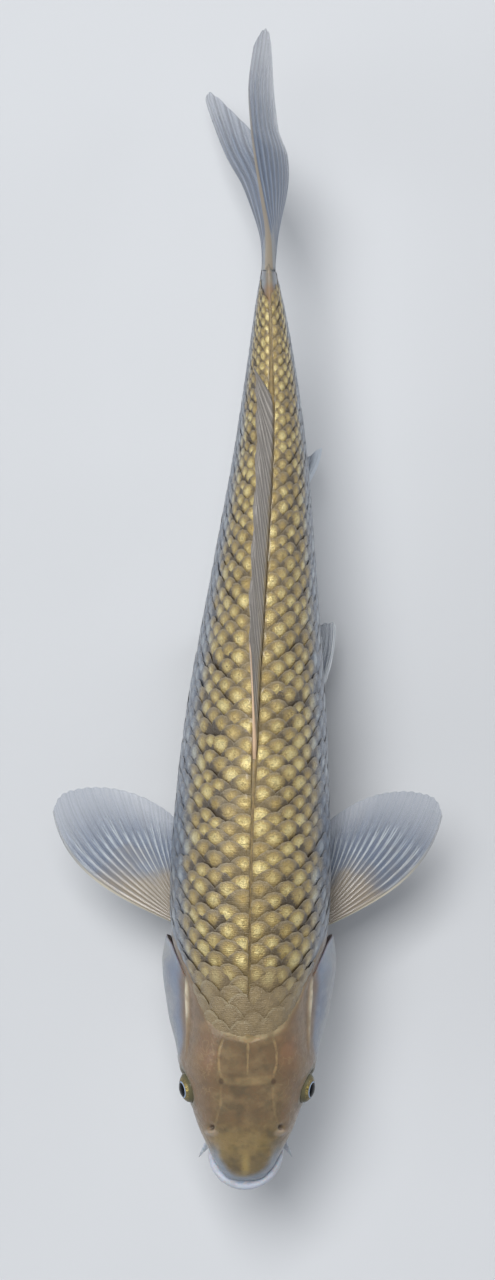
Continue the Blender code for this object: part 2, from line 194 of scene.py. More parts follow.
def onBody(hand, along, angle, off=0.0):
    # point at a distance off the body's surface; hand is 1 on the fish's left and -1 on its right
    along, angle = np.broadcast_arrays(np.asarray(along, float), np.asarray(angle, float))
    side, height = section(along, angle)
    s1, h1 = section(along, np.clip(angle - 0.6, 0, 180))
    s2, h2 = section(along, np.clip(angle + 0.6, 0, 180))
    outSide, outHeight = -(h2 - h1), s2 - s1
    size = np.maximum(np.hypot(outSide, outHeight), 1e-9)
    return place(hand * (side + off * outSide / size), along, height + off * outHeight / size)


# Materials: a Wire is one value in a shader, and everyday sums on it add the shader's own nodes


class Wire:
    def __init__(self, tree, socket):
        self.tree, self.socket = tree, socket

    def __add__(self, other):
        return sums("ADD", self, other)

    def __radd__(self, other):
        return sums("ADD", other, self)

    def __sub__(self, other):
        return sums("SUBTRACT", self, other)

    def __rsub__(self, other):
        return sums("SUBTRACT", other, self)

    def __mul__(self, other):
        return sums("MULTIPLY", self, other)

    def __truediv__(self, other):
        return sums("DIVIDE", self, other)

    def __pow__(self, other):
        return sums("POWER", self, other)

    def __abs__(self):
        return sums("ABSOLUTE", self)


def newMaterial(name, looks):
    mat = bpy.data.materials.new(name)
    mat.use_nodes = True
    shader = mat.node_tree.nodes["Principled BSDF"]
    for socket, value in looks.items():
        shader.inputs[socket].default_value = value
    return mat, mat.node_tree, shader


def feed(socket, value):
    if isinstance(value, Wire):
        value.tree.links.new(value.socket, socket)
    elif socket.type == "RGBA":
        socket.default_value = (*value, 1)
    else:
        socket.default_value = value


def build(kind, fed, **settings):
    # a node in the tree of the first wire fed to it
    tree = next(value.tree for value in fed.values() if isinstance(value, Wire))
    made = tree.nodes.new(kind)
    for name, setting in settings.items():
        setattr(made, name, setting)
    for socket, value in fed.items():
        feed(made.inputs[socket], value)
    return [Wire(tree, socket) for socket in made.outputs]


def sums(how, *values):
    return build("ShaderNodeMath", dict(enumerate(values)), operation=how)[0]


def larger(first, second):
    return sums("MAXIMUM", first, second)


def smaller(first, second):
    return sums("MINIMUM", first, second)


def fade(value, low, high, start=0.0, end=1.0):
    fed = dict(enumerate((value, low, high, start, end)))
    return build("ShaderNodeMapRange", fed, interpolation_type="SMOOTHSTEP")[0]


def fadeOut(value, low, high):
    return fade(value, low, high, 1.0, 0.0)


def blend(factor, first, second):
    return build("ShaderNodeMix", {0: factor, 6: first, 7: second}, data_type="RGBA")[2]


def layers(colour, *coats):
    # each coat is a mask and the colour it lays over what is below
    for mask, tone in coats:
        colour = blend(mask, colour, tone)
    return colour


def grain(vector, scale, detail=3.0, rough=0.55, distort=0.0):
    fed = {"Vector": vector, "Scale": scale, "Detail": detail, "Roughness": rough, "Distortion": distort}
    return build("ShaderNodeTexNoise", fed)[0]


def splitPlace(vector):
    return build("ShaderNodeSeparateXYZ", {0: vector})


def joinPlace(x, y, z=0.0):
    return build("ShaderNodeCombineXYZ", {0: x, 1: y, 2: z})[0]


def objectPlace(tree, stretch=(1, 1, 1)):
    coordinates = Wire(tree, tree.nodes.new("ShaderNodeTexCoord").outputs["Object"])
    return build("ShaderNodeMapping", {"Vector": coordinates, "Scale": stretch})[0]


def mapPlace(tree, name):
    made = tree.nodes.new("ShaderNodeUVMap")
    made.uv_map = name
    return splitPlace(Wire(tree, made.outputs[0]))[:2]


def attribute(tree, name):
    made = tree.nodes.new("ShaderNodeAttribute")
    made.attribute_name = name
    return build("ShaderNodeSeparateColor", {0: Wire(tree, made.outputs["Color"])})


def bumps(shader, height, strength, distance):
    fed = {"Height": height, "Strength": strength, "Distance": distance}
    feed(shader.inputs["Normal"], build("ShaderNodeBump", fed)[0])


def finishMesh(mesh, mat, smoothAngle=180):
    mesh.shade_smooth()
    if smoothAngle < 180:
        mesh.set_sharp_from_angle(angle=math.radians(smoothAngle))
    mesh.materials.append(mat)
    piece = bpy.data.objects.new(mesh.name, mesh)
    bpy.context.scene.collection.objects.link(piece)
    return piece


def meshFrom(name, bm):
    mesh = bpy.data.meshes.new(name)
    bm.to_mesh(mesh)
    bm.free()
    return mesh


def closeOutwards(bm, mesh):
    # hands a closed shape back to its mesh with its faces outwards
    bmesh.ops.recalc_face_normals(bm, faces=bm.faces)
    if bm.calc_volume(signed=True) < 0:
        bmesh.ops.reverse_faces(bm, faces=bm.faces)
    bm.to_mesh(mesh)
    bm.free()


def setPoints(mesh, points):
    mesh.vertices.foreach_set("co", points.astype(np.float32).ravel())


def setMap(mesh, name, pairs):
    # a UV map from one pair of numbers per vertex
    layer = mesh.uv_layers.new(name=name)
    corner = np.empty(len(mesh.loops), dtype=np.int32)
    mesh.loops.foreach_get("vertex_index", corner)
    layer.data.foreach_set("uv", np.asarray(pairs, np.float32)[corner].ravel())


def setTones(mesh, name, values):
    layer = mesh.color_attributes.new(name=name, type="FLOAT_COLOR", domain="POINT")
    rgba = np.ones((len(mesh.vertices), 4), np.float32)
    rgba[:, : values.shape[1]] = values
    layer.data.foreach_set("color", rgba.ravel())


def gridTube(name, points, mat, maps=(), tones=()):
    # closed skin over rows of points; each row's last point meets its first
    rows, columns = points.shape[:2]
    bm = bmesh.new()
    bmesh.ops.create_grid(bm, x_segments=columns - 1, y_segments=rows - 1, size=0.5)
    mesh = meshFrom(name, bm)
    setPoints(mesh, points)
    for title, pairs in maps:
        setMap(mesh, title, pairs.reshape(-1, 2))
    for title, values in tones:
        setTones(mesh, title, values.reshape(rows * columns, -1))
    bm = bmesh.new()
    bm.from_mesh(mesh)
    bm.verts.ensure_lookup_table()
    last = columns - 1
    bmesh.ops.weld_verts(
        bm, targetmap={bm.verts[r * columns + last]: bm.verts[r * columns] for r in range(rows)}
    )
    rims = [e for e in bm.edges if e.is_boundary]
    bmesh.ops.holes_fill(bm, edges=rims, sides=0)
    closeOutwards(bm, mesh)
    return finishMesh(mesh, mat)


def gridPlate(name, across, down, surface, thickness, mat):
    # closed thin plate: a grid laid on surface(u, v) and pushed out both ways
    bm = bmesh.new()
    bmesh.ops.create_grid(bm, x_segments=across, y_segments=down, size=0.5)
    made = bmesh.ops.extrude_face_region(bm, geom=bm.faces[:])["geom"]
    bm.verts.index_update()
    top = np.zeros(len(bm.verts))
    for item in made:
        if isinstance(item, bmesh.types.BMVert):
            top[item.index] = 1
    where = np.array([v.co[:2] for v in bm.verts]) + 0.5
    bmesh.ops.recalc_face_normals(bm, faces=bm.faces)
    mesh = meshFrom(name, bm)
    u, v = where[:, 0], where[:, 1]
    nudge = 1e-3
    cross = np.cross(
        surface(np.minimum(1, u + nudge), v) - surface(np.maximum(0, u - nudge), v),
        surface(u, np.minimum(1, v + nudge)) - surface(u, np.maximum(0, v - nudge)),
    )
    cross /= np.maximum(np.linalg.norm(cross, axis=1, keepdims=True), 1e-12)
    co = surface(u, v) + cross * (thickness(u, v) * (top - 0.5) * 0.001)[:, None]
    setPoints(mesh, co)
    setMap(mesh, "FinMap", where)
    bm = bmesh.new()
    bm.from_mesh(mesh)
    closeOutwards(bm, mesh)
    return finishMesh(mesh, mat, smoothAngle=70)


def tint(*levels):
    # an everyday 0-255 colour, as the shader wants it
    shares = [level / 255 for level in levels]
    return tuple(c / 12.92 if c <= 0.04045 else ((c + 0.055) / 1.055) ** 2.4 for c in shares)


# The skin: one surface from snout to tail, folded in behind the gill covers

skin = {
    "around": 216,
    "headRings": 74,
    "coverRings": 50,
    "foldRings": 9,
    "bodyRings": 150,
    "headEnd": 46.0,
    "coverTop": 57.0,
    "coverLow": 164.0,
    "coverRear": [
        (60, 81), (66, 84), (74, 90.5), (84, 95.5), (98, 97.6), (115, 94.6), (135, 84.6), (154, 70),
        (180, 64),
    ],
    "coverRise": [
        (44, 0), (50, 1.0), (56, 2.7), (60, 4.1), (66, 5.9), (74, 7.0), (81, 7.3), (89, 5.8), (98, 2.7),
    ],
    "coverThick": 0.8,
    "slitDepth": 13.0,
    "scaleStart": [
        (0, 61.5), (15, 62.8), (30, 66.5), (43, 73), (50, 78), (56, 84), (62, 90.5), (70, 96), (80, 99),
        (150, 98), (180, 92),
    ],
    "scaleEnd": [(0, 343), (20, 343.5), (60, 349), (90, 352.5), (130, 351), (180, 345)],
}
coverRear, coverRise, scaleStart, scaleEnd = (
    curve(skin[n]) for n in ("coverRear", "coverRise", "scaleStart", "scaleEnd")
)

eye = {"fromSnout": 40.9, "level": 9.5, "out": 21.3, "radius": 6.5, "halfDepth": 5.1}
nostril = {"fromSnout": 25.8, "out": 13.4}
mouthFold = {"middle": 16.5, "wide": 13.7, "long": 14.2}

scalePitch = curve([
    (60, 9.0), (97, 8.1), (130, 7.4), (200, 7.2), (232, 6.9), (260, 6.0), (290, 5.1), (346, 4.2),
])


def scaleDepth(along):
    return 0.19 * scalePitch(along)


def scaleMask(along, angle):
    start, end = scaleStart(angle), scaleEnd(angle)
    return smoothStep(along, start - 3, start + 6) * stepDown(along, end - 2, end + 4)


def ridge(along, angle):
    # raised crest along the top of the gill cover; its pale line is partly its own colour and partly a
    # painted highlight
    middle = 63.5 - 0.03 * (along - 66)
    wide = 1.0 + 0.7 * smoothStep(along, 56, 78)
    return hump(angle - middle, wide) * smoothStep(along, 50, 60) * stepDown(along, 81, 85)


def coverWindow(angle):
    return smoothStep(angle, skin["coverTop"], skin["coverTop"] + 33) * (
        1 - smoothStep(angle, skin["coverLow"] - 34, skin["coverLow"])
    )


def headRelief(side, along, height):
    # small forms of the head, as a distance outwards
    off = np.zeros_like(side)
    # step from the snout down to the lip's fold
    edge = np.hypot(side / mouthFold["wide"], np.maximum(0, mouthFold["middle"] - along) / mouthFold["long"])
    off -= 0.2 * smoothStep(edge, 0.74, 0.9) * smoothStep(height, -4, 1) * stepDown(along, 14, 18)
    # nostril pit behind a raised flap
    reach = np.hypot(side - nostril["out"], (along - nostril["fromSnout"]) * 0.9)
    ahead = np.hypot((side - nostril["out"] - 0.2) * 0.55, along - nostril["fromSnout"] + 2.1)
    off += np.where(height > 4, hump(ahead, 0.95) - 1.4 * hump(reach, 0.95), 0)
    # brow and the ring round the eye
    away = np.hypot(along - eye["fromSnout"], height - eye["level"])
    off += np.where(side > 12, 0.45 * hump(away - 7.6, 1.4), 0)
    # shallow groove of the mouth's corner running back
    line = -2.6 - 0.24 * along
    groove = hump(height - line, 0.9) * smoothStep(along, 12, 15) * stepDown(along, 20, 27)
    off -= 0.9 * groove
    # edge of the cheek plate
    cheek = 52.5 - 0.016 * (height + 4) ** 2
    off -= 0.35 * hump(along - cheek, 0.8) * smoothStep(side, 19, 22)
    # the tail's root narrows onto the fin
    off -= 0.5 * smoothStep(along, 351, 357)
    # root muscle of the pectoral fin
    root = np.hypot(along - 105, (height + 27) * 1.3)
    off += 1.6 * hump(root, 5.5) * (side > 10)
    return off


def carveEyes(points, hand):
    # opens a socket: the skin inside the eyeball's outline drops behind it
    centre = place(hand * eye["out"], eye["fromSnout"], eye["level"])
    apart = (points - centre) * 1000
    away = np.hypot(apart[..., 1], apart[..., 2])
    drop = 5.0 * stepDown(away, 5.2, 6.4) * (apart[..., 0] * hand > -4)
    points[..., 0] -= hand * drop * 0.001
    return points


def bothHalves(left, right):
    # one whole ring; the right half runs back up from the belly
    return np.concatenate((left, right[-2::-1]))


def makeSkin(mat):
    half = skin["around"] // 2
    shares = np.linspace(0, 1, half + 1)
    rings = []
    n = skin["headRings"]
    stations = bodyEnds["snout"] + (skin["headEnd"] - bodyEnds["snout"]) * (np.arange(n) / n) ** 1.35
    for station in stations:
        rings.append((np.full(half + 1, station), None, 0))
    # angle across each ring, taken at the gill cover for the folded part
    neckAngle = angleAt(np.full(half + 1, 75.0), shares)
    rear = coverRear(neckAngle)
    window = coverWindow(neckAngle)
    slit = smoothStep(neckAngle, 62, 68) * stepDown(neckAngle, 146, 156)
    depth = skin["slitDepth"] * (0.25 + 0.75 * np.sin(np.pi * np.clip((neckAngle - 60) / 96, 0, 1)))
    thick = skin["coverThick"]
    curlShare = stepDown(neckAngle, 80, 97)

    def coverLift(station):
        curl = 1 - 0.72 * smoothStep(station, rear - 8, rear) * curlShare
        return window * np.maximum(0, coverRise(station)) * curl

    n = skin["coverRings"]
    for t in np.linspace(0, 1, n + 1):
        station = skin["headEnd"] + (rear - skin["headEnd"]) * t
        rings.append((station, coverLift(station), 0))
    outer = coverLift(rear)
    n = skin["foldRings"]
    steps = [(0.3, 0.12), (0.42, 0.5), (0.25, 0.9)]
    for i, (ahead, down) in enumerate(steps):
        station = (rear + ahead) * slit + (rear + 0.35 * (i + 1)) * (1 - slit)
        rings.append((station, slit * (outer - thick * down) + (1 - slit) * outer, 0.15 + 0.2 * i))
    for i in range(n - 3):
        t = (i + 1) / (n - 3)
        inside = rear - depth * t
        hollow = np.maximum(coverLift(inside) - thick, 0.15)
        low = hollow * stepDown(t, 0.55, 1.0) - 0.4 * smoothStep(t, 0.7, 1.0)
        station = inside * slit + (rear + 0.35 * (i + 4)) * (1 - slit)
        rings.append((station, slit * np.maximum(low, -0.4) + (1 - slit) * outer * (1 - t), 1.0))
    start = (rear - depth) * slit + (rear + 0.35 * n) * (1 - slit)
    n = skin["bodyRings"]
    for i in range(1, n + 1):
        t = i / n
        station = start + (bodyEnds["tail"] - start) * (0.72 * t + 0.28 * t**1.8)
        under = np.where(slit > 0.5, stepDown(station, rear - 3, rear + 0.5), 0.0)
        rings.append((station, -0.4 * under * slit, under))
    points, marks, maps, rounds = [], [], [], []
    for station, lift, shade in rings:
        angle = angleAt(station, shares)
        side, height = section(station, angle)
        off = headRelief(side, station, height)
        if lift is not None:
            off = off + lift + 0.8 * ridge(station, angle)
        mask = scaleMask(station, angle)
        strip = hump(side, 1.5) * (height > 0)
        off = off - scaleDepth(station) * mask * (1 - 0.6 * strip)
        pair = []
        for hand in (1, -1):
            ring = onBody(hand, station, angle, off)
            ring[0, 0] = ring[-1, 0] = 0
            ring[0] = place(0.0, station[0], height[0] + off[0])
            ring[-1] = place(0.0, station[-1], height[-1] - off[-1])
            pair.append(carveEyes(ring, hand))
        points.append(bothHalves(*pair))
        cover = np.zeros(half + 1)
        if lift is not None:
            cover = window * smoothStep(station, 43, 62) * (station < rear + 1)
        mark = np.stack((cover, slit * shade, mask), axis=-1)
        marks.append(bothHalves(mark, mark))
        left = np.stack((0.5 + side / mapSize["wide"], station / mapSize["long"]), axis=-1)
        right = np.stack((0.5 - side / mapSize["wide"], station / mapSize["long"]), axis=-1)
        maps.append(bothHalves(left, right))
        crest = ridge(station, angle)
        margin = cover * smoothStep(station, rear - 2.6, rear - 0.4) * (1 - shade)
        turn = np.stack((shares, crest, margin), axis=-1)
        rounds.append(bothHalves(turn, turn))
    return gridTube(
        "body_skin",
        np.array(points),
        mat,
        maps=[("BodyMap", np.array(maps))],
        tones=[("Regions", np.array(marks)), ("Round", np.array(rounds))],
    )


def lineMask(distance, width):
    return fadeOut(abs(distance), width * 0.35, width)


def ovalReach(x, y, centreX, centreY, wide, long):
    # 1 on the edge of an oval, 0 in its middle
    a = (x - centreX) / wide
    b = (y - centreY) / long
    return sums("SQRT", a * a + b * b)


def spotMask(side, along, sideAt, alongAt, wide, long, soft=0.5):
    reach = ovalReach(side, along, sideAt, alongAt, wide, long)
    return fadeOut(reach, 1 - soft, 1 + soft)


def between(value, low, high, soft):
    rise = fade(value, low - soft, low + soft)
    return rise * fadeOut(value, high - soft, high + soft)


skinColours = {
    "snout": tint(122, 104, 66),
    "crown": tint(108, 88, 64),
    "pale": tint(146, 126, 92),
    "mottle": tint(84, 74, 56),
    "suture": tint(172, 148, 104),
    "freckle": tint(66, 52, 40),
    "cheekPink": tint(132, 90, 64),
    "temple": tint(118, 94, 72),
    "eyeRing": tint(92, 88, 68),
    "lipFold": tint(120, 134, 152),
    "cheek": tint(122, 118, 114),
    "cover": tint(104, 116, 136),
    "coverBlotch": tint(92, 98, 118),
    "coverLow": tint(138, 142, 148),
    # pale crest line, partly a painted highlight
    "crest": tint(208, 198, 174),
    "slit": tint(112, 70, 62),
    "nape": tint(122, 106, 78),
    "back": tint(92, 80, 60),
    "strip": tint(112, 94, 60),
    "flank": tint(92, 100, 112),
    "belly": tint(196, 190, 178),
    "tailRoot": tint(126, 132, 140),
}


def headPaint(spot, noise):
    # the skull's tones, its seams, the nostrils and the fold behind the upper lip
    side, along, height, share, where = spot
    wander, drift, mottle, patch = noise
    tones = skinColours
    sideW = side + wander * 1.5
    alongW = along + drift * 3.0
    upside = fadeOut(share, 0.3, 0.42)
    head = blend(fade(alongW, 18, 32), tones["snout"], tones["crown"])
    dusk = fade(grain(where, 120.0, 2.0, 0.5), 0.52, 0.68)
    cloudy = fade(grain(where, 240.0, 3.0, 0.6), 0.45, 0.62)
    # two darker clouds beside the snout's pale ridge
    cloud = spotMask(sideW, alongW, 5.2, 11.0, 3.6, 4.2, 0.7)
    head = layers(
        head,
        (patch * 0.38, tones["pale"]),
        (dusk * 0.5, tones["mottle"]),
        (cloudy * 0.3, tones["mottle"]),
        (mottle * 0.2, tones["mottle"]),
        (fade(side, 11.0, 15.0) * 0.4, tones["temple"]),
        (cloud * 0.4, tones["mottle"]),
    )
    # bone seams
    arch = (side / 10.0) ** 4.0 * 1.1
    cross = alongW - (44.9 + arch)
    seam = lineMask(cross, 2.3) * fade(side, 8.8, 10.4, 0.6, 0.0)
    middle = lineMask(sideW, 0.6) * between(along, 48.0, 61.5, 1.5)
    runBack = along - 45.0
    bulge = runBack * (17.0 - runBack) * 0.019
    plateLine = sideW - (9.6 + bulge)
    plate = lineMask(plateLine, 0.7) * between(along, 46.0, 61.0, 1.5)
    ahead = larger((44.0 - along) / 17.0, 0.0) ** 3.0
    noseLine = sideW - (9.8 + ahead * 2.6)
    nose = lineMask(noseLine, 0.7) * 0.4 * between(along, 27.5, 42.5, 1.5)
    for line in (middle, plate, nose):
        seam = larger(seam, line)
    # pale edge where the head ends
    veeLine = alongW - 61.0 - side * 0.25
    vee = lineMask(veeLine, 2.0) * fade(side, 3.0, 10.0, 1.0, 0.15)
    seam = larger(seam, vee)
    broken = fade(grain(where, 230.0, 3.0), 0.3, 0.56, 0.3, 1.0)
    seam = seam * upside * broken
    snoutRidge = fadeOut(sideW, 0.2, 2.4) * between(along, 6.0, 15.0, 3.0)
    # thin wandering canals over the cheek plates
    vein = abs(grain(where, 150.0, 2.0, 0.5, 0.6) - 0.5)
    vein = fadeOut(vein, 0.0, 0.028) * between(side, 11.5, 19.0, 1.5)
    vein = vein * between(along, 38.0, 62.0, 3.0)
    pink = spotMask(sideW, alongW, 15.0, 55.5, 4.0, 8.0, 0.7) * (0.12 + patch * 0.3)
    dots = spotMask(sideW, alongW, 10.1, 44.3, 0.9, 1.2)
    freckles = fade(grain(where, 700.0, 2.0), 0.67, 0.73)
    # nostrils, with painted shade in the pit
    pitShade = spotMask(side, along, nostril["out"], nostril["fromSnout"], 0.9, 1.1, 0.45)
    flap = spotMask(sideW, along, nostril["out"] - 0.4, nostril["fromSnout"] - 2.2, 2.2, 1.2, 0.6)
    # blue-grey skin round the mouth
    foldAt = mouthFold["middle"]
    reach = ovalReach(side, smaller(along, foldAt), 0.0, foldAt, mouthFold["wide"], mouthFold["long"])
    reach = reach + wander * 0.15
    fold = fade(reach, 0.64, 0.86) * fadeOut(along, 11.0, 21.0)
    ringReach = ovalReach(along, height, eye["fromSnout"], eye["level"], 8.6, 8.0)
    socket = fadeOut(ringReach, 0.8, 1.15) * fade(side, 10.0, 14.0)
    head = layers(
        head,
        (snoutRidge * upside * 0.6, tint(160, 140, 88)),
        (pink, tones["cheekPink"]),
        (vein * upside * 0.35, tones["pale"]),
        (seam * 0.4, tones["suture"]),
        (dots * upside * 0.7, tones["freckle"]),
        (freckles * 0.35, tones["freckle"]),
        (flap * upside * 0.4, tint(170, 156, 140)),
        (pitShade * upside * 0.8, tint(50, 40, 32)),
        (fold * 0.8, tones["lipFold"]),
        # cheeks and throat
        (fade(share, 0.36, 0.52) * 0.8, tones["cheek"]),
        (fade(share + drift * 0.2, 0.5, 0.76), tones["belly"]),
        (socket * 0.75, tones["eyeRing"]),
    )
    return head, seam


def skinPaint():
    mat, tree, shader = newMaterial(
        "skin_wet",
        {"Coat Weight": 0.2, "Coat Roughness": 0.18, "Subsurface Weight": 0.12, "Subsurface Scale": 0.0015},
    )
    u, v = mapPlace(tree, "BodyMap")
    where = objectPlace(tree)
    height = splitPlace(where)[2] * 1000.0 - held["mouthHeight"]
    side = abs((u - 0.5) * mapSize["wide"])
    along = v * mapSize["long"]
    wander = grain(where, 160.0, 4.0) - 0.5
    drift = grain(where, 60.0, 2.0) - 0.5
    mottle = fade(grain(where, 420.0, 5.0, 0.65), 0.35, 0.68)
    patch = fade(grain(where, 95.0, 3.0), 0.4, 0.62)
    alongW = along + drift * 3.0
    share, crest, margin = attribute(tree, "Round")
    cover, shade, mask = attribute(tree, "Regions")
    tones = skinColours
    upside = fadeOut(share, 0.3, 0.42)
    head, seam = headPaint((side, along, height, share, where), (wander, drift, mottle, patch))
    # gill covers: blue-grey above, silvery lower down
    blotch = fade(grain(where, 85.0, 3.0, 0.6), 0.45, 0.62)
    plate = blend(blotch * 0.55, tones["cover"], tones["coverBlotch"])
    sheen = fade(grain(where, 110.0, 2.0, 0.5, 0.4), 0.55, 0.72)
    lowSide = fade(share + drift * 0.12, 0.36, 0.52)
    plate = layers(
        plate,
        (sheen * 0.3, tint(150, 158, 172)),
        (mottle * 0.1, tint(146, 154, 168)),
        (lowSide * 0.75, tones["coverLow"]),
        (lowSide * patch * 0.2, tint(164, 156, 136)),
        (fade(share, 0.6, 0.85), tones["belly"]),
        (margin * 0.3, tint(140, 152, 176)),
    )
    onCover = fade(cover + drift * 0.3, 0.08, 0.5)
    onCover = onCover * fade(cover, 0.0, 0.4)
    crest = crest * fade(along, 58.0, 72.0, 0.35, 1.0)
    # the crest's pale line: partly its own colour, partly a painted highlight along the ridge, broken up by
    # noise
    crestAndHighlight = crest * fade(grain(where, 150.0, 3.0), 0.34, 0.58, 0.35, 1.0)
    head = layers(head, (onCover, plate), (crestAndHighlight * 0.95, tones["crest"]))
    # under the scales
    # the flank's blue-grey is partly a painted blue reflection
    bodyTone = blend(fade(share, 0.12, 0.34), tones["back"], tones["flank"])
    strip = fadeOut(side, 1.2, 2.6) * upside
    stripTone = blend(mottle * 0.6, tones["strip"], tint(150, 130, 84))
    rear = along + drift * 8.0
    rear = fade(rear, 340.0, 350.0) * fade(side, 0.6, 2.0, 0.35, 0.85)
    blush = spotMask(side, along, 0.0, 345.0, 2.4, 4.0, 0.5) * upside
    bodyTone = layers(
        bodyTone,
        (fade(share, 0.5, 0.8), tones["belly"]),
        (strip, stripTone),
        (rear, tones["tailRoot"]),
        (blush * 0.6, tint(124, 92, 58)),
    )
    nape = blend(fade(alongW, 72.0, 97.0), tones["nape"], bodyTone)
    nape = blend(strip * 0.6, nape, stripTone)
    rimLine = fade(mask, 0.02, 0.3) * fadeOut(mask, 0.3, 0.7)
    base = blend(fade(mask + wander * 0.3, 0.1, 0.5), head, nape)
    lumps = fade(grain(where, 190.0, 2.0), 0.42, 0.62)
    base = layers(
        base,
        (rimLine * upside * (0.1 + lumps * 0.4), tint(166, 150, 116)),
        (fade(alongW, 99.0, 104.0), bodyTone),
        (larger(onCover, crestAndHighlight * 0.95), head),
        (shade * 0.92, tones["slit"]),
    )
    feed(shader.inputs["Base Color"], base)
    matte = strip * 0.3 * fade(along, 60.0, 75.0)
    feed(shader.inputs["Roughness"], 0.3 + matte + mottle * 0.16)
    fine = grain(where, 1500.0, 3.0)
    wrinkle = grain(where, 380.0, 4.0, 0.6)
    relief = fine * 0.3 + (wrinkle + seam * -0.6)
    bumps(shader, relief, 0.5, 0.0005)
    return mat


bodySkin = makeSkin(skinPaint())
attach(bodySkin, "root")
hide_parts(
    "head", "lower_jaw", "shoulders", "trunk", "tail_stalk", "gill_cover_left",
    "gill_cover_right",
)
print("skin done")

# Lips and barbels

lips = {
    "upper": {
        "half": 13.9, "reach": 15.0, "level": -0.1, "droop": 5.1, "thick": 1.9, "tall": 2.3, "inner": 0.7,
        "rise": 1.7,
    },
    "lower": {
        "half": 12.1, "reach": 13.1, "level": -4.2, "droop": 2.2, "thick": 1.6, "tall": 1.8, "inner": 0.4,
        "rise": -0.8,
    },
    "corner": 16.5,
    "turns": 120,
    "sides": 24,
}


def makeLip(name, lip, mat):
    n, sides = lips["turns"], lips["sides"]
    turn = np.radians(np.linspace(-86, 86, n + 1))[:, None]
    ring = np.linspace(0, 2 * math.pi, sides + 1)[None, :]
    ends = np.cos(turn)
    taper = 0.12 + 0.88 * (1 - np.abs(turn / math.radians(88)) ** 4.5)
    drop = lip["level"] - lip["droop"] * (1 - ends)
    # small creases across the lip
    crease = 1 - 0.02 * np.abs(np.sin(turn * 23 + 1.8 * np.sin(turn * 7))) ** 3
    thick = lip["thick"] * taper * np.cos(ring) * crease
    tall = lip["tall"] * taper * np.sin(ring) * crease
    inward = np.maximum(0, -np.cos(ring)) * taper
    thick = thick * (1 + lip["inner"] * inward)
    tall = tall + lip["rise"] * inward**2
    points = place(
        (lip["half"] + thick) * np.sin(turn), lips["corner"] + (lip["reach"] + thick) * -ends, drop + tall
    )
    about = np.broadcast_to(ring / (2 * math.pi), points.shape[:2])
    across = np.broadcast_to((turn + math.pi) / (2 * math.pi), points.shape[:2])
    return gridTube(name, points, mat, maps=[("LipMap", np.stack((across, about), axis=-1))])


def lipPaint():
    mat, tree, shader = newMaterial(
        "lip_skin",
        {
            "Roughness": 0.3,
            "Coat Weight": 0.15,
            "Coat Roughness": 0.2,
            "Subsurface Weight": 0.25,
            "Subsurface Scale": 0.001,
        },
    )
    ring = mapPlace(tree, "LipMap")[1]
    where = objectPlace(tree)
    out = sums("COSINE", ring * (2 * math.pi))
    mottle = grain(where, 500.0, 4.0, 0.6)
    edge = out + (mottle - 0.5) * 0.7
    base = blend(fade(edge, -0.6, 0.0), tint(120, 134, 152), tint(172, 178, 190))
    soft = grain(where, 160.0, 2.0)
    base = layers(
        base,
        (fade(mottle, 0.48, 0.7) * 0.4, tint(168, 150, 144)),
        (fade(soft, 0.45, 0.62) * 0.3, tint(140, 140, 142)),
    )
    feed(shader.inputs["Base Color"], base)
    bumps(shader, grain(where, 1100.0, 3.0), 0.35, 0.0004)
    return mat


lipMat = lipPaint()
for word in ("upper", "lower"):
    piece = makeLip(word + "_lip_skin", lips[word], lipMat)
    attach(piece, "root")
    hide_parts(word + "_lip")

barbels = {
    "rear": {"root": (14.6, 17.0, -6.8), "reach": (3.6, -6.2, -7.6), "radius": 1.75},
    "front": {"root": (13.3, 11.2, -5.8), "reach": (0.3, -1.2, -4.6), "radius": 0.6},
}


def makeBarbel(name, hand, barbel, mat):
    t = np.linspace(0, 1, 22)[:, None]
    ring = np.linspace(0, 2 * math.pi, 13)[None, :]
    root, reach = barbel["root"], barbel["reach"]
    size = barbel["radius"] * (1.05 - 0.95 * t) * (1 + 0.02 * np.sin(t * 40))
    side = root[0] + reach[0] * t + 0.15 * np.sin(math.pi * t) + size * 0.75 * np.cos(ring)
    along = root[1] + reach[1] * t + size * np.sin(ring) * 0.8
    height = root[2] + reach[2] * t + size * np.sin(ring) * 0.6
    points = place(hand * side, along, height)
    return gridTube(name, points, mat, maps=[("LipMap", np.broadcast_to((0.5, 0.0), (*side.shape, 2)))])


def barbelPaint():
    mat, tree, shader = newMaterial(
        "barbel_skin", {"Roughness": 0.35, "Subsurface Weight": 0.2, "Subsurface Scale": 0.001}
    )
    where = objectPlace(tree)
    base = blend(fade(grain(where, 600.0, 3.0), 0.35, 0.65), tint(150, 158, 168), tint(184, 190, 198))
    feed(shader.inputs["Base Color"], base)
    bumps(shader, grain(where, 1400.0, 2.0), 0.3, 0.0003)
    return mat


barbelMat = barbelPaint()
for hand, word in ((1, "left"), (-1, "right")):
    for row in ("front", "rear"):
        piece = makeBarbel(f"barbel_{row}_{word}_skin", hand, barbels[row], barbelMat)
        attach(piece, "root")
        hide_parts(f"barbel_{row}_{word}")
print("lips and barbels done")

# Eyes: a ball with a flattened, slightly sunk iris under a clear coat

eyeParts = {"iris": 5.4, "pupil": 3.0, "forward": 15.0, "up": 27.0}


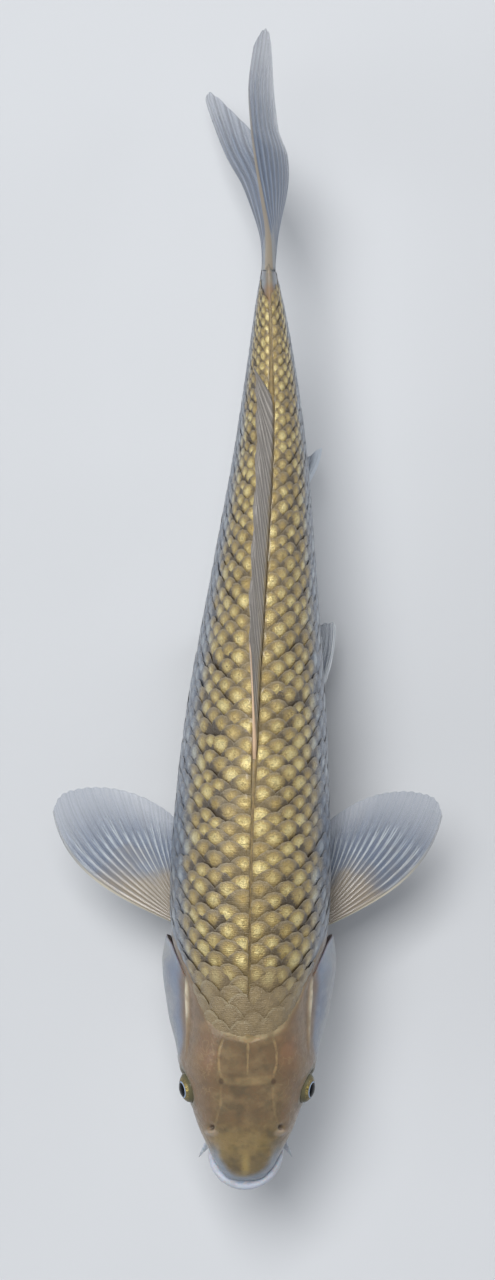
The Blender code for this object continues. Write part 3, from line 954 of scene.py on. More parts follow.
def makeEye(name, hand, mat):
    bm = bmesh.new()
    bmesh.ops.create_uvsphere(bm, u_segments=48, v_segments=36, radius=eye["radius"] * 0.001)
    for vert in bm.verts:  # the iris is a shallow disc, the pupil swells a little
        away = math.hypot(vert.co.x, vert.co.y) * 1000
        if vert.co.z > 0 and away < eyeParts["iris"]:
            flat = 0.5 * (1 - (away / eyeParts["iris"]) ** 2)
            bulge = 0.45 * math.exp(-((away / eyeParts["pupil"]) ** 4))
            vert.co.z -= (flat - bulge) * 0.001
    mesh = meshFrom(name, bm)
    co = np.empty(len(mesh.vertices) * 3, np.float32)
    mesh.vertices.foreach_get("co", co)
    co = co.reshape(-1, 3) * 1000
    away = np.hypot(co[:, 0], co[:, 1])
    away = np.where(co[:, 2] > 0, away, mapSize["eye"] - away)
    turn = np.arctan2(co[:, 1], co[:, 0]) / (2 * math.pi) + 0.5
    setMap(mesh, "EyeMap", np.stack((away / mapSize["eye"], turn), axis=-1))
    setTones(mesh, "EyePlace", np.column_stack((co[:, :2] / mapSize["eye"] + 0.5, away / mapSize["eye"])))
    bm = bmesh.new()
    bm.from_mesh(mesh)
    yaw, pitch = math.radians(eyeParts["forward"]), math.radians(eyeParts["up"])
    look = Vector((hand * math.cos(yaw) * math.cos(pitch), -math.sin(yaw) * math.cos(pitch), math.sin(pitch)))
    bmesh.ops.rotate(bm, verts=bm.verts, cent=(0, 0, 0), matrix=look.to_track_quat("Z", "Y").to_matrix())
    bmesh.ops.scale(bm, verts=bm.verts, vec=(eye["halfDepth"] / eye["radius"], 1, 1))
    bmesh.ops.translate(
        bm, verts=bm.verts, vec=Vector(place(hand * eye["out"], eye["fromSnout"], eye["level"])),
    )
    bm.to_mesh(mesh)
    bm.free()
    return finishMesh(mesh, mat)


def eyePaint():
    mat, tree, shader = newMaterial(
        "eye_glassy",
        {"Roughness": 0.12, "Specular IOR Level": 0.06, "Coat Weight": 0.14, "Coat Roughness": 0.04},
    )
    px, py, away = attribute(tree, "EyePlace")
    dx = (px - 0.5) * mapSize["eye"]
    dy = (py - 0.5) * mapSize["eye"]
    reach = away * mapSize["eye"]
    turn = sums("ARCTAN2", dy, dx)
    rays = joinPlace(sums("COSINE", turn) * 6.0, sums("SINE", turn) * 6.0, reach * 0.5)
    streak = grain(rays, 2.2, 5.0, 0.65)
    wobble = reach + (streak - 0.5) * 0.3
    iris = blend(fade(streak, 0.38, 0.7), tint(84, 78, 56), tint(138, 124, 84))
    # a golden fleck over the pupil
    fleck = fade(dy, 2.8, 4.2) * fadeOut(abs(dx), 0.3, 2.0)
    fleck = fleck * fadeOut(wobble, 4.4, 5.1)
    # painted reflection: a thin bluish-white ring round the pupil, where the clear eye catches light
    ring = fade(wobble, 2.9, 3.0) * fadeOut(wobble, 3.1, 3.45)
    iris = layers(
        iris,
        (fleck * fade(streak, 0.4, 0.6), tint(186, 164, 90)),
        (fade(wobble, 4.4, 5.2), tint(88, 84, 64)),
        (ring, tint(138, 158, 188)),
    )
    base = blend(fade(wobble, 2.85, 2.95), tint(3, 4, 6), iris)
    base = blend(fade(reach, 5.6, 6.3), base, tint(96, 92, 76))
    feed(shader.inputs["Base Color"], base)
    feed(shader.inputs["Metallic"], fleck * 0.4)
    bumps(shader, streak, 0.2, 0.0003)
    return mat


eyeMat = eyePaint()
for hand, word in ((1, "left"), (-1, "right")):
    piece = makeEye(f"eye_{word}_detailed", hand, eyeMat)
    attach(piece, "root")
    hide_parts("eye_" + word)
print("eyes done")

# Fins: thin membranes over bony rays that split towards the edge

fins = {
    "membrane": 0.32,
    "pectoral": {
        "rays": 16,
        "grid": (160, 56),
        "thick": (1.9, 0.32, 0.5),  # root, rays, leading ray
        "root": 10.0,
        "angle": 124.0,
        "heading": [
            (0, 43.5), (0.12, 47.8), (0.3, 53.8), (0.48, 60.8), (0.65, 68.5), (0.82, 78.0), (1, 87.5),
        ],
        "length": [(0, 66.5), (0.12, 68.0), (0.3, 64.2), (0.48, 57.6), (0.65, 49.8), (0.82, 40.5), (1, 32.0)],
        "bow": [(0, 0.135), (0.12, 0.105), (0.3, 0.07), (0.5, 0.04), (1, 0.02)],
        "slope": -0.08,
        "left": {"start": 98.2, "spread": 1.0},
        "right": {"start": 99.8, "spread": 1.07},
    },
    "pelvic": {
        "rays": 9,
        "grid": (90, 44),
        "thick": (1.2, 0.45, 0.4),
        "start": 172.0,
        "root": 7.0,
        "left": {"heading": 69.0, "length": 51.0, "drop": 8.0},
        "right": {"heading": 80.0, "length": 49.0, "drop": 14.0},
    },
    "dorsal": {
        "rays": 26,
        "grid": (240, 30),
        "thick": (1.6, 0.3, 0.5),
        "start": 168.0,
        "end": 305.0,
        "sweep": [(0, 41.0), (0.3, 36.0), (0.8, 26.0), (1, 12.0)],
        "rise": [(0, 13.0), (0.25, 12.6), (0.6, 9.8), (0.85, 6.5), (1, 4.0)],
        "lean": [(0, 3.4), (0.1, 4.6), (0.3, 5.2), (0.6, 5.6), (0.85, 6.0), (1, 6.6)],
    },
    "anal": {
        "rays": 7,
        "grid": (84, 36),
        "thick": (1.0, 0.4, 0.4),
        "start": 256.0,
        "end": 281.0,
        "sweep": [(0, 34.0), (0.25, 22.5), (0.5, 15.5), (0.75, 11.5), (1, 9.5)],
        "lean": [(0, 20.8), (0.25, 13.2), (0.5, 9.0), (0.75, 6.5), (1, 4.5)],
        "drop": [(0, 22.0), (0.25, 19.0), (0.5, 15.5), (0.75, 11.0), (1, 7.0)],
    },
    "tail": {
        "rays": 20,
        "lobeRays": 10,
        "grid": (120, 70),
        "thick": (4.6, 0.3, 0.6),
        "rootTop": 23.2,
        "rootLow": -15.0,
        "length": [
            (0, 86.5), (0.05, 90.5), (0.1, 92.0), (0.17, 90.0), (0.25, 82.0), (0.33, 68.5), (0.42, 51.0),
            (0.5, 44.5), (0.58, 46.0), (0.7, 52.5), (0.82, 70.5), (0.9, 85.5), (0.95, 91.0), (0.985, 89.5),
            (1, 85.5),
        ],
        "angle": [(0, 24.0), (0.1, 21.0), (0.3, 9.0), (0.5, -3.0), (0.7, -15.0), (0.92, -32.0), (1, -37.0)],
        "upper": [(0, 0), (10, -0.1), (23, -2.2), (37, -4.8), (52, -6.8), (63, -7.5), (86, -4.5)],
        "fork": [
            (0, 0), (9, 2.0), (20, 5.0), (28, 7.1), (36, 8.0), (44, 7.3), (51, 4.8), (60, 3.8), (92, 4.2),
        ],
        "lower": [(0, 0), (13.5, -1.3), (27, -5.9), (36, -9.5), (48, -15.9), (61, -21.0), (73, -25.1)],
    },
}


def sideAt(along, height):
    level = widest(along)
    upper = height >= level
    power = np.where(upper, backFullness(along), bellyFullness(along))
    rise = np.where(upper, back(along) - level, level - belly(along))
    share = np.minimum(1.0, np.abs(height - level) / rise)
    return halfWidth(along) * (1 - share**power) ** (1 / power)


def bellyHeight(along, side):
    level, power = widest(along), bellyFullness(along)
    share = np.minimum(1.0, np.abs(side) / halfWidth(along))
    return level - (level - belly(along)) * (1 - share**power) ** (1 / power)


def rayHeight(u, v, rays):
    # 0 on the membrane, 1 on a ray; each ray forks towards the edge
    split = 0.42
    x = u * rays
    apart = np.abs(x - np.floor(x) - 0.5)
    fork = 0.25 * smoothStep(v, split, 0.95)
    wide = 0.2 - 0.11 * smoothStep(v, split - 0.15, 0.9)
    return hump(apart - fork, wide)


def finEdge(u, v, rays, deep):
    # the membrane dips a little between the rays' ends
    x = u * rays
    return v * (1 - deep * (1 - np.cos(2 * np.pi * (x - 0.5))) * 0.5 * smoothStep(v, 0.7, 1.0))


def finThickness(rays, rootThick, rayThick, leading):
    def read(u, v):
        ray = rayHeight(u, v, rays) * (1 - 0.55 * v)
        lead = hump(u, 0.035) * leading * (1 - 0.6 * v)
        edge = smoothStep(np.minimum(np.minimum(u, 1 - u) * 25, (1 - v) * 18), 0.0, 1.0)
        return (fins["membrane"] + rootThick * (1 - v) ** 3 + rayThick * ray) * (0.35 + 0.65 * edge) + lead

    return read


def pectoralSurface(hand, own):
    fin = fins["pectoral"]
    heading, length, bow = (curve(fin[n]) for n in ("heading", "length", "bow"))

    def surface(u, v):
        v = finEdge(u, v, fin["rays"], 0.006)
        start = own["start"] + fin["root"] * u
        rootSide, rootHeight = section(start, np.full_like(start, fin["angle"]))
        rootSide = rootSide + 1.1
        turn = np.radians(heading(u))
        bowed = v * (1 - v) * (2 + 3.4 * v) * bow(u)
        out = length(u) * (v * np.cos(turn) + bowed * np.sin(turn)) * own["spread"]
        along = start + length(u) * (v * np.sin(turn) - bowed * np.cos(turn))
        height = rootHeight + fin["slope"] * out + 2.5 * np.sin(np.pi * u) * v
        height = height + 0.5 * np.sin(u * 5 + 1) * np.sin(v * 7) * v
        clear = sideAt(along, height) - 0.2
        return place(hand * np.maximum(rootSide + out - 1.2 * (1 - v) ** 8, clear), along, height)

    return surface


def pelvicSurface(hand, fin):
    def surface(u, v):
        v = finEdge(u, v, fins["pelvic"]["rays"], 0.01)
        start = fins["pelvic"]["start"] + fins["pelvic"]["root"] * u
        half = 11.5 - 4.5 * u
        ray = fin["length"] * (1 - 0.45 * u**1.5)
        turn = np.radians(fin["heading"] + 6.0 * u)
        bow = 0.48 * v * (1 - v) * (1 - 0.6 * u)
        out = ray * (v * np.cos(turn) + bow * np.sin(turn)) * (1 - 0.75 * u)
        rear = ray * (v * np.sin(turn) - bow * np.cos(turn))
        height = bellyHeight(start, half) + 0.4 - 1.6 * smoothStep(v, 0, 0.12)
        height = height - fin["drop"] * v * (0.8 + 0.2 * u)
        return place(hand * (half + out), start + rear, height + 0.4 * np.sin(u * 6) * v)

    return surface


def dorsalSurface():
    fin = fins["dorsal"]
    sweep, rise, lean = (curve(fin[n]) for n in ("sweep", "rise", "lean"))

    def surface(u, v):
        v = finEdge(u, v, fin["rays"], 0.025)
        start = fin["start"] + (fin["end"] - fin["start"]) * u
        along = start + sweep(u) * v
        root = back(start) * (1 - v) + back(along) * v
        height = root - 0.6 + 1.4 * smoothStep(v, 0, 0.1) + rise(u) * np.maximum(v, 1e-6) ** 0.9
        wave = 0.35 * np.sin(u * 46 + v * 3) * v
        return place(-lean(u) * np.maximum(v, 1e-6) ** 1.1 + wave, along, height)

    return surface


def analSurface():
    fin = fins["anal"]
    sweep, lean, drop = (curve(fin[n]) for n in ("sweep", "lean", "drop"))

    def surface(u, v):
        v = finEdge(u, v, fin["rays"], 0.02)
        start = fin["start"] + (fin["end"] - fin["start"]) * u
        side = lean(u) * (1 - (1 - v) ** 1.8)
        return place(
            side, start + sweep(u) * v, belly(start) + 0.5 - 1.4 * smoothStep(v, 0, 0.12) - drop(u) * v,
        )

    return surface


def tailSurface(first, last):
    fin = fins["tail"]
    length, angle, upper, fork, lower = (curve(fin[n]) for n in ("length", "angle", "upper", "fork", "lower"))

    def surface(u, v):
        share = first + (last - first) * u
        v = finEdge(share, v, fin["rays"], 0.007)
        turn = np.radians(angle(share))
        reach = length(share) * v
        root = fin["rootTop"] + (fin["rootLow"] - fin["rootTop"]) * share
        rear = reach * np.cos(turn)
        top = share < 0.5
        edge = np.where(top, upper(rear), lower(rear))
        hollow = np.abs(np.sin(np.pi * share)) ** np.where(top, 1.0, 1.7)
        side = edge + (fork(rear) - edge) * hollow
        return place(side, bodyEnds["tail"] - 2.5 * (1 - v) ** 6 + rear, root + reach * np.sin(turn))

    return surface


def finPaint(name, rays, look):
    mat, tree, shader = newMaterial(name, {"Roughness": 0.3, "Coat Weight": 0.25, "Coat Roughness": 0.2})
    u, v = mapPlace(tree, "FinMap")
    where = objectPlace(tree)
    noise = grain(where, 240.0, 4.0, 0.6)
    cloud = grain(where, 70.0, 3.0) - 0.5
    x = u * float(rays)
    inRay = sums("FRACT", x)
    apart = abs(inRay - 0.5)
    fork = fade(v, 0.42, 0.95, 0.0, 0.25)
    wide = fade(v, 0.25, 0.9, 0.2, 0.09)
    near = abs(apart - fork) / wide
    onRay = fadeOut(near, 0.4, 1.25)
    # painted shade: a thin dark line beside each ray
    groove = fadeOut(abs(inRay - 0.9), 0.02, 0.12)
    groove = groove * fade(v, 0.5, 0.9, 1.0, look["tip"])
    # rays catch the light in streaks
    streak = grain(joinPlace(x, v * 3.0), 1.1, 3.0, 0.6)
    threads = grain(joinPlace(x * 6.0, v * 2.0), 1.0, 2.0, 0.5)
    # joints across each ray
    joint = sums("FRACT", (v + noise * 0.01) * 42.0)
    joint = fadeOut(joint, 0.06, 0.22) * fade(v, 0.3, 0.5)
    colour = blend(fade(threads, 0.35, 0.65), look["membrane"], tuple(c * 0.7 for c in look["membrane"]))
    rayShow = fade(v + cloud, 0.55, 0.95, 1.0, look["tip"] * 0.6)
    rayShow = rayShow * fade(streak, 0.3, 0.65, 0.3, 1.0)
    reachBase = v + cloud * 0.7 + u * 0.22
    rootShare = fadeOut(reachBase, look["base"][1], look["base"][2])
    lead = fadeOut(u, look["lead"][1] * 0.4, look["lead"][1])
    lead = lead * fade(v, 0.45, 0.95, 1.0, look["lead"][2])
    colour = layers(
        colour,
        (onRay * rayShow, look["ray"]),
        (groove * look["groove"], look["dark"]),
        (joint * onRay * 0.3, tuple(c * 0.6 for c in look["ray"])),
        (rootShare * (0.92 - groove * 0.35), look["base"][0]),
        (lead * 0.85, look["lead"][0]),
    )
    feed(shader.inputs["Base Color"], colour)
    rayAlpha = larger(onRay * rayShow, groove * 0.7) * 0.85
    solid = larger(rayAlpha, larger(lead, rootShare * 0.97))
    clear = fade(v, 0.35, 0.95, look["clear"][0], look["clear"][1])
    alpha = clear + solid * (1.0 - clear)
    tip = fade(v, 0.6, 1.0, 1.0, look["clear"][2])
    feed(shader.inputs["Alpha"], smaller(1.0, alpha * tip))
    height = onRay * 0.7 + (joint + noise) * 0.25
    bumps(shader, height, 0.5, 0.0005)
    return mat


# base: colour and where it fades out; lead: colour, width and strength at the tip;
# clear: membrane near the root, far out and at the tip;
# dark and groove: colour and strength of the painted shade beside each ray
finLooks = {
    "pectoral": {
        "base": (tint(134, 122, 104), 0.3, 0.68),
        "membrane": tint(104, 120, 146),
        "ray": tint(182, 188, 194),
        "dark": tint(84, 88, 98),
        "groove": 0.5,
        "lead": (tint(178, 172, 156), 0.03, 0.4),
        "clear": (0.62, 0.36, 0.62),
        "tip": 0.25,
    },
    "pelvic": {
        "base": (tint(138, 134, 126), 0.15, 0.5),
        "membrane": tint(110, 124, 144),
        "ray": tint(176, 182, 186),
        "dark": tint(92, 96, 104),
        "groove": 0.5,
        "lead": (tint(190, 196, 202), 0.07, 0.9),
        "clear": (0.6, 0.4, 0.85),
        "tip": 0.5,
    },
    "dorsal": {
        "base": (tint(142, 126, 96), 0.02, 0.3),
        "membrane": tint(138, 132, 126),
        "ray": tint(156, 150, 142),
        "dark": tint(92, 86, 82),
        "groove": 0.6,
        "lead": (tint(200, 170, 140), 0.035, 0.8),
        "clear": (0.93, 0.88, 1.0),
        "tip": 0.8,
    },
    "anal": {
        "base": (tint(136, 138, 142), 0.1, 0.4),
        "membrane": tint(120, 132, 150),
        "ray": tint(168, 174, 182),
        "dark": tint(100, 106, 116),
        "groove": 0.5,
        "lead": (tint(196, 204, 214), 0.14, 1.0),
        "clear": (0.6, 0.5, 0.9),
        "tip": 0.5,
    },
    "tail": {
        "base": (tint(128, 130, 132), 0.03, 0.3),
        "membrane": tint(112, 126, 150),
        "ray": tint(140, 150, 166),
        "dark": tint(60, 61, 69),
        "groove": 0.85,
        "lead": (tint(134, 123, 106), 0.02, 0.35),
        "clear": (0.62, 0.4, 0.7),
        "tip": 0.8,
    },
}


def raysOf(kind):
    # the rays that one plate shows
    return fins[kind].get("lobeRays", fins[kind]["rays"])


finMats = {kind: finPaint(kind + "_membrane", raysOf(kind), look) for kind, look in finLooks.items()}


def addFin(kind, word, surface):
    # word is the side or the tail's lobe, with its underscore, and empty for a single fin
    fin = fins[kind]
    thickness = finThickness(raysOf(kind), *fin["thick"])
    piece = gridPlate(kind + word + "_rays", *fin["grid"], surface, thickness, finMats[kind])
    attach(piece, "root")
    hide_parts(kind + "_fin" + word)


for hand, word in ((1, "left"), (-1, "right")):
    addFin("pectoral", "_" + word, pectoralSurface(hand, fins["pectoral"][word]))
    addFin("pelvic", "_" + word, pelvicSurface(hand, fins["pelvic"][word]))
addFin("dorsal", "", dorsalSurface())
addFin("anal", "", analSurface())
for word, edge in (("_upper", 0.0), ("_lower", 1.0)):
    addFin("tail", word, tailSurface(edge, 0.5))
print("fins done")

# The scales: one template of 53 faces, laid along the body in staggered rows

coat = {
    "rows": 21,  # on each side, back to belly
    "halfWidth": 1.12,  # of the spacing between rows
    "length": 1.75,  # of the pitch along a row
    "thick": 0.17,
    "sink": 0.2,  # depth of a root, of the pitch
    "climb": 0.25,  # rise from root to rim, of the pitch
    "dome": 0.095,
    "seed": 7,
}
# half width of the bare strip on the back and of the keel; below zero the rows cross the midline
stripHalf = straight([
    (60, -7), (68, -7), (76, 0.1), (150, 0.4), (166, 1.1), (300, 1.2), (312, 0.9), (322, 0.2), (346, 0.2),
])
keelHalf = straight([(60, -5), (246, -5), (254, 2.2), (284, 2.2), (292, -5), (346, -5)])


def scaleTemplate():
    bm = bmesh.new()
    bmesh.ops.create_grid(bm, x_segments=6, y_segments=5, size=0.5)
    low = bm.faces[:]
    made = bmesh.ops.extrude_face_region(bm, geom=low)["geom"]
    for item in made:
        if isinstance(item, bmesh.types.BMVert):
            item.co.z = 1.0
    under = [f for f in bm.faces if all(v.co.z < 0.5 for v in f.verts)]
    bmesh.ops.dissolve_faces(bm, faces=under, use_verts=True)
    steps = [0.0, 0.34, 0.58, 0.78, 0.91, 1.0]
    bmesh.ops.recalc_face_normals(bm, faces=bm.faces)
    mesh = meshFrom("scale_template", bm)
    co = np.array([v.co for v in mesh.vertices])
    u = np.sin(co[:, 0] * 2 * 1.25) / math.sin(1.25)
    t = np.interp(co[:, 1] + 0.5, np.linspace(0, 1, 6), steps)
    return mesh, u, t, co[:, 2]


def layScales(hand, name, mat, template, stationRange):
    mesh, u, t, top = template
    s = np.arange(40.0, 358.0, 0.25)
    phase = np.concatenate(([0], np.cumsum(0.25 / scalePitch((s[1:] + s[:-1]) / 2))))
    rng = np.random.default_rng(coat["seed"] + (0 if hand > 0 else 50))
    picks = []
    for k in range(coat["rows"]):
        shift = 0.5 * ((k + (hand < 0)) % 2) + 0.05 * math.sin(k * 1.7 + hand)
        for n in range(int(phase[-1])):
            root = np.interp(n + shift, phase, s)
            jitter = rng.normal(0, 1, 8)
            pitch = scalePitch(root)
            centre = root + 1.25 * pitch
            half = halfGirth(centre)
            arc = (k + 0.5) * half / coat["rows"]
            if arc < stripHalf(centre) or arc > half - keelHalf(centre):
                continue
            angle = float(angleAt(np.array([centre]), np.array([arc / half]))[0])
            first, last = float(scaleStart(angle)) - 1.0, float(scaleEnd(angle)) + 2 + 0.8 * jitter[7]
            if centre < first or centre > last:
                continue
            side, height = section(np.array([centre]), np.array([angle]))
            if math.hypot(centre - 105.5, (height[0] + 26.5) * 1.3) < 6.5 and side[0] > 10:
                continue
            if math.hypot(centre - 178, side[0] - 9.5) < 4.5 and height[0] < 0:
                continue
            if stationRange[0] <= centre < stationRange[1]:
                picks.append((root, k, angle, arc / half, *jitter))
    picks = np.array(picks)
    root, k, angle, share = (picks[:, i : i + 1] for i in range(4))
    jitter = picks[:, 4:]
    pitch = scalePitch(root)
    size = 1 + 0.06 * jitter[:, 0:1]
    # rounded rear, narrower hidden root
    reach = t * (1 - 0.3 * np.abs(u) ** 2.2)
    wide = 0.72 + 0.28 * smoothStep(t, 0, 0.4)
    turn = 0.06 * jitter[:, 1:2]
    alongLocal = reach * coat["length"] * size + turn * u
    acrossLocal = u * wide * coat["halfWidth"] * size - turn * (reach - 0.7) * 1.6
    station = root + alongLocal * pitch + 0.045 * pitch * jitter[:, 2:3]
    half = halfGirth(station)
    arc = (k + 0.5 + acrossLocal + 0.05 * jitter[:, 3:4]) * half / coat["rows"]
    # squeeze what would cross the bare strips
    inner, keel = stripHalf(station), keelHalf(station)
    arc = inner + 0.7 * np.logaddexp(0, (arc - inner) / 0.7)
    arc = half - keel - 0.7 * np.logaddexp(0, (half - keel - arc) / 0.7)
    over = np.where((arc < 0) | (arc > half), -1.0, 1.0)
    arc = np.abs(arc)
    arc = np.where(arc > half, 2 * half - arc, arc)
    angleHere = angleAt(station, arc / half)
    fadeIn = smoothStep(station, scaleStart(angleHere) - 6, scaleStart(angleHere) + 8)
    swell = (1 - np.abs(u) ** 2) * hump(reach - 0.72, 0.2)
    lift = -coat["sink"] + coat["climb"] * (reach + 0.012 * jitter[:, 4:5])
    lift = lift + coat["dome"] * swell * (1 + 0.25 * jitter[:, 5:6]) + 0.018 * jitter[:, 6:7] * u * reach
    calm = np.maximum(smoothStep(station, 64.0, 90.0), smoothStep(angleHere, 56, 66))
    low = 1 - 0.62 * smoothStep(angleHere, 42, 70)
    lift = lift * (0.45 + 0.55 * calm) * low * pitch - 0.25 * (1 - fadeIn)
    lift = lift - ((1 - calm) * 0.05 + (1 - low) * 0.05) * pitch
    thick = coat["thick"] * (1 - 0.45 * smoothStep(t, 0.7, 1.0)) * (0.45 + 0.55 * calm) * (0.45 + 0.55 * low)
    off = lift - (1 - top) * thick
    points = onBody(hand * over, station, angleHere, off)
    bm = bmesh.new()
    for _ in range(len(picks)):
        bm.from_mesh(mesh)
    made = meshFrom(name, bm)
    setPoints(made, points)
    grid = points.shape[:2]
    bake = (0.5 + hand * (share * 0.46 + 0.01) + 0.0015 * u, root / mapSize["long"] + 0.003 * t)
    setMap(made, "OFBake", np.stack(bake, axis=-1).reshape(-1, 2))
    onScale = [np.broadcast_to(a, grid) for a in (u * 0.5 + 0.5, t)]
    setMap(made, "ScaleMap", np.stack(onScale, axis=-1).reshape(-1, 2))
    show = smoothStep(root + 1.2 * pitch, 74.0, 94.0)
    show = np.maximum(show, smoothStep(angle, 58, 68))
    luck = np.clip(0.5 + 0.2 * jitter[:, 7:8], 0, 1)
    tones = np.stack([np.broadcast_to(a, grid) for a in (luck, show, arc / half)], axis=-1)
    setTones(made, "Tone", tones.reshape(-1, 3))
    return finishMesh(made, mat, smoothAngle=50), len(picks)


scaleColours = {
    "gold": tint(190, 164, 100),
    # the bright gold here and the bright silver below are painted highlights for the middle of each scale's
    # dome
    "goldHighlight": tint(248, 230, 164),
    # the blue-grey flank tones are partly the scales' own silver and partly a painted blue reflection
    "silver": tint(122, 134, 152),
    "silverHighlight": tint(186, 194, 198),
    "pearl": tint(208, 206, 200),
    "shadow": tint(66, 56, 44),
    "shadowFlank": tint(72, 80, 94),
    "rim": tint(130, 116, 88),
    "rimFlank": tint(88, 98, 114),
    "nape": tint(122, 106, 78),
}


def scalePaint():
    mat, tree, shader = newMaterial("scale_guanine", {"Coat Weight": 0.3, "Coat Roughness": 0.22})
    x, t = mapPlace(tree, "ScaleMap")
    luck, show, share = attribute(tree, "Tone")
    where = objectPlace(tree)
    tones = scaleColours
    u = abs((x - 0.5) * 2.0)
    v = t * (1.0 - u ** 2.2 * 0.3)
    broad = grain(where, 130.0, 3.0, 0.6) - 0.5
    rough = grain(where, 520.0, 4.0, 0.65) - 0.5
    fine = grain(where, 1500.0, 3.0, 0.7) - 0.5
    chance = luck + broad * 1.6
    a = u / 0.6
    b = (v - 0.73) / 0.27
    reach = sums("SQRT", a * a + b * b)
    reach = reach + (rough * 1.7 + fine * 1.1)
    reach = reach - (chance - 0.5) * 0.5
    blob = fadeOut(reach, 0.38, 1.1)
    # painted highlight: a brighter middle on each scale's dome
    highlightCore = fadeOut(reach + fine * 0.8, 0.1, 0.8)
    goldShare = fadeOut(share + chance * 0.08, 0.235, 0.385)
    pale = fade(share + rough * 0.1, 0.5, 0.72)
    gold = blend(highlightCore * fade(chance + rough, -0.05, 0.75), tones["gold"], tones["goldHighlight"])
    silver = blend(highlightCore * fade(chance + rough, 0.2, 0.9), tones["silver"], tones["silverHighlight"])
    # towards the flanks the scales turn silver and blue-grey: partly their own silver, partly a painted blue
    # reflection
    metal = blend(goldShare, silver, gold)
    metal = blend(pale, metal, tones["pearl"])
    rim = blend(goldShare, tones["rimFlank"], tones["rim"])
    rim = blend(pale * 0.85, rim, tones["pearl"])
    shadow = blend(goldShare, tones["shadowFlank"], tones["shadow"])
    # painted shade and dark pigment where a scale comes out from under its neighbours
    outIn = v - (0.43 + u * 0.53)
    dark = fadeOut(outIn + rough * 0.12, 0.0, 0.15)
    dark = larger(dark, fade(u + rough * 0.4, 0.5, 0.85))
    dark = dark * fade(share + broad * 0.25, 0.0, 0.13, 0.6, 1.0)
    dark = dark * (1.0 - pale * 0.75)
    base = blend(dark * 0.92, rim, shadow)
    middle = fadeOut(share + broad * 0.1, 0.0, 0.13)
    speck = fade(fine + rough, -0.28, 0.3)
    edge = fade(t + fine * 0.05, 0.93, 0.99)
    quiet = blend(blob * 0.35, tones["nape"], tint(150, 132, 98))
    rimShow = fade(t, 0.88, 0.97) * fade(broad, -0.08, 0.12, 0.05, 0.5)
    quiet = blend(rimShow, quiet, tint(160, 148, 120))
    base = layers(
        base,
        (blob, metal),
        (middle * 0.25, metal),
        ((1.0 - speck) * 0.5, shadow),
        (edge * 0.35, tint(150, 140, 120)),
        (1.0 - show, quiet),
    )
    feed(shader.inputs["Base Color"], base)
    shine = blob * show * (0.4 + chance * 0.3)
    feed(shader.inputs["Metallic"], shine)
    feed(shader.inputs["Roughness"], 0.33 + fine * 0.3)
    # growth rings and fine grain
    rings = sums("SINE", v * 130.0)
    height = rings * 0.06 + (rough * 1.3 + fine * 0.9)
    bumps(shader, height, 0.8, 0.0006)
    return mat


scaleMat = scalePaint()
template = scaleTemplate()
total = 0
for hand, word in ((1, "left"), (-1, "right")):
    for part, reach in (("front", (0, 165)), ("rear", (165, 400))):
        piece, count = layScales(hand, f"scales_{word}_{part}", scaleMat, template, reach)
        total += count
        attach(piece, "root")
bpy.data.meshes.remove(template[0])
print("scales done:", total)

# Stand


def standPaint():
    mat, tree, shader = newMaterial("stand_satin_black", {})
    where = objectPlace(tree)
    cloud = grain(where, 30.0, 3.0)
    feed(shader.inputs["Base Color"], blend(fade(cloud, 0.35, 0.65), tint(34, 35, 37), tint(42, 43, 45)))
    feed(shader.inputs["Roughness"], 0.36 + cloud * 0.15)
    bumps(shader, grain(where, 1800.0, 3.0), 0.25, 0.0002)
    return mat


def steelPaint():
    mat, tree, shader = newMaterial("stand_brushed_steel", {"Metallic": 1.0})
    lines = grain(objectPlace(tree, (1, 1, 0.03)), 2600.0, 2.0)
    feed(shader.inputs["Base Color"], blend(lines, tint(150, 152, 154), tint(196, 197, 198)))
    feed(shader.inputs["Roughness"], 0.2 + lines * 0.2)
    bumps(shader, lines, 0.2, 0.0001)
    return mat


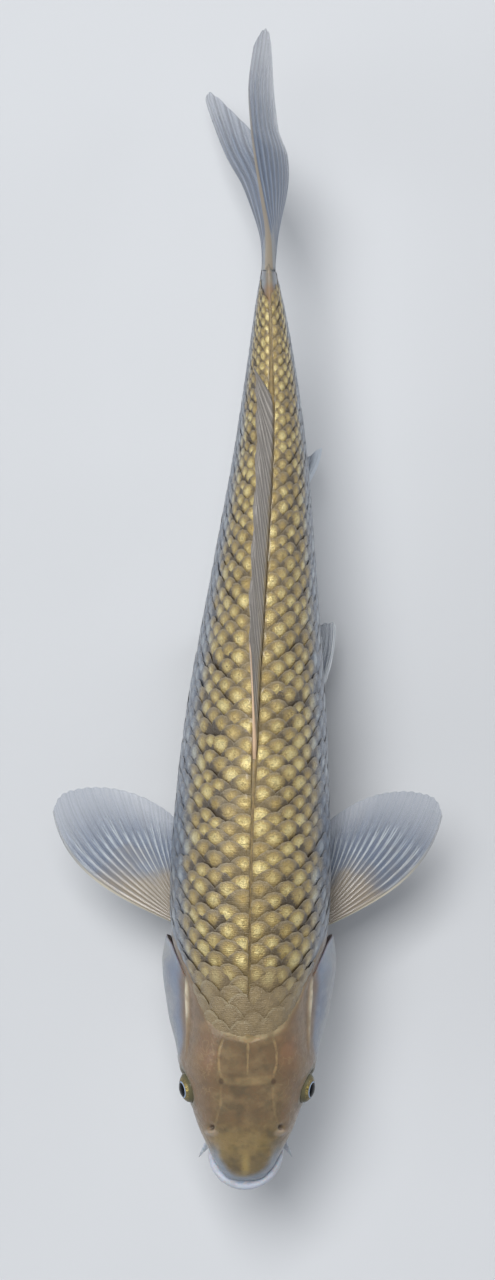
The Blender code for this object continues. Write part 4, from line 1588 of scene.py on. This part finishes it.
blackMat, steelMat = standPaint(), steelPaint()
for node, mat in (("stand_base", blackMat), ("stand_rod_front", steelMat), ("stand_rod_rear", steelMat)):
    part = bpy.data.objects[node]
    part.data.materials.clear()
    part.data.materials.append(mat)

# Floor, light and camera

studio = {
    "cameraHeight": 1.8,  # above the mouth's level
    "lens": 130.6,
    "cameraX": -0.00163,
    "cameraY": 0.0728,
}


def makeFloor():
    bm = bmesh.new()
    bmesh.ops.create_grid(bm, x_segments=8, y_segments=8, size=4.0)
    mat, tree, shader = newMaterial("floor_pale", {"Roughness": 0.7})
    cloud = grain(objectPlace(tree), 3.0, 3.0)
    feed(shader.inputs["Base Color"], blend(cloud, tint(184, 187, 191), tint(192, 194, 198)))
    return finishMesh(meshFrom("floor", bm), mat)


floor = makeFloor()


def softLight(name, spot, size, power, colour):
    lamp = bpy.data.lights.new(name, "AREA")
    lamp.shape = "RECTANGLE"
    lamp.size, lamp.size_y = size
    lamp.energy = power
    lamp.color = colour
    thing = bpy.data.objects.new(name, lamp)
    thing.location = spot
    aim = Vector((0, 0.05, 0.1)) - Vector(spot)
    thing.rotation_mode = "QUATERNION"
    thing.rotation_quaternion = aim.to_track_quat("-Z", "Y")
    bpy.context.scene.collection.objects.link(thing)


softLight("light_top", (-0.3, 0.55, 2.4), (0.8, 0.8), 54, (1, 0.99, 0.97))
softLight("light_left", (-1.7, -0.4, 1.2), (1.0, 1.6), 12, (0.95, 0.98, 1))
softLight("light_right", (1.8, 0.6, 1.0), (1.0, 1.6), 9, (0.97, 0.98, 1))

world = bpy.data.worlds.new("studio_world")
world.use_nodes = True
world.node_tree.nodes["Background"].inputs[0].default_value = (0.86, 0.9, 0.96, 1)
world.node_tree.nodes["Background"].inputs[1].default_value = 0.34
bpy.context.scene.world = world
bpy.context.scene.view_settings.view_transform = "Standard"

lensData = bpy.data.cameras.new("camera")
lensData.lens = studio["lens"]
lensData.sensor_width = 36
camera = bpy.data.objects.new("camera", lensData)
camera.location = (studio["cameraX"], studio["cameraY"], held["mouthHeight"] * 0.001 + studio["cameraHeight"])
camera.rotation_euler = (0, 0, 0)
bpy.context.scene.collection.objects.link(camera)
bpy.context.scene.camera = camera

print("studio done")
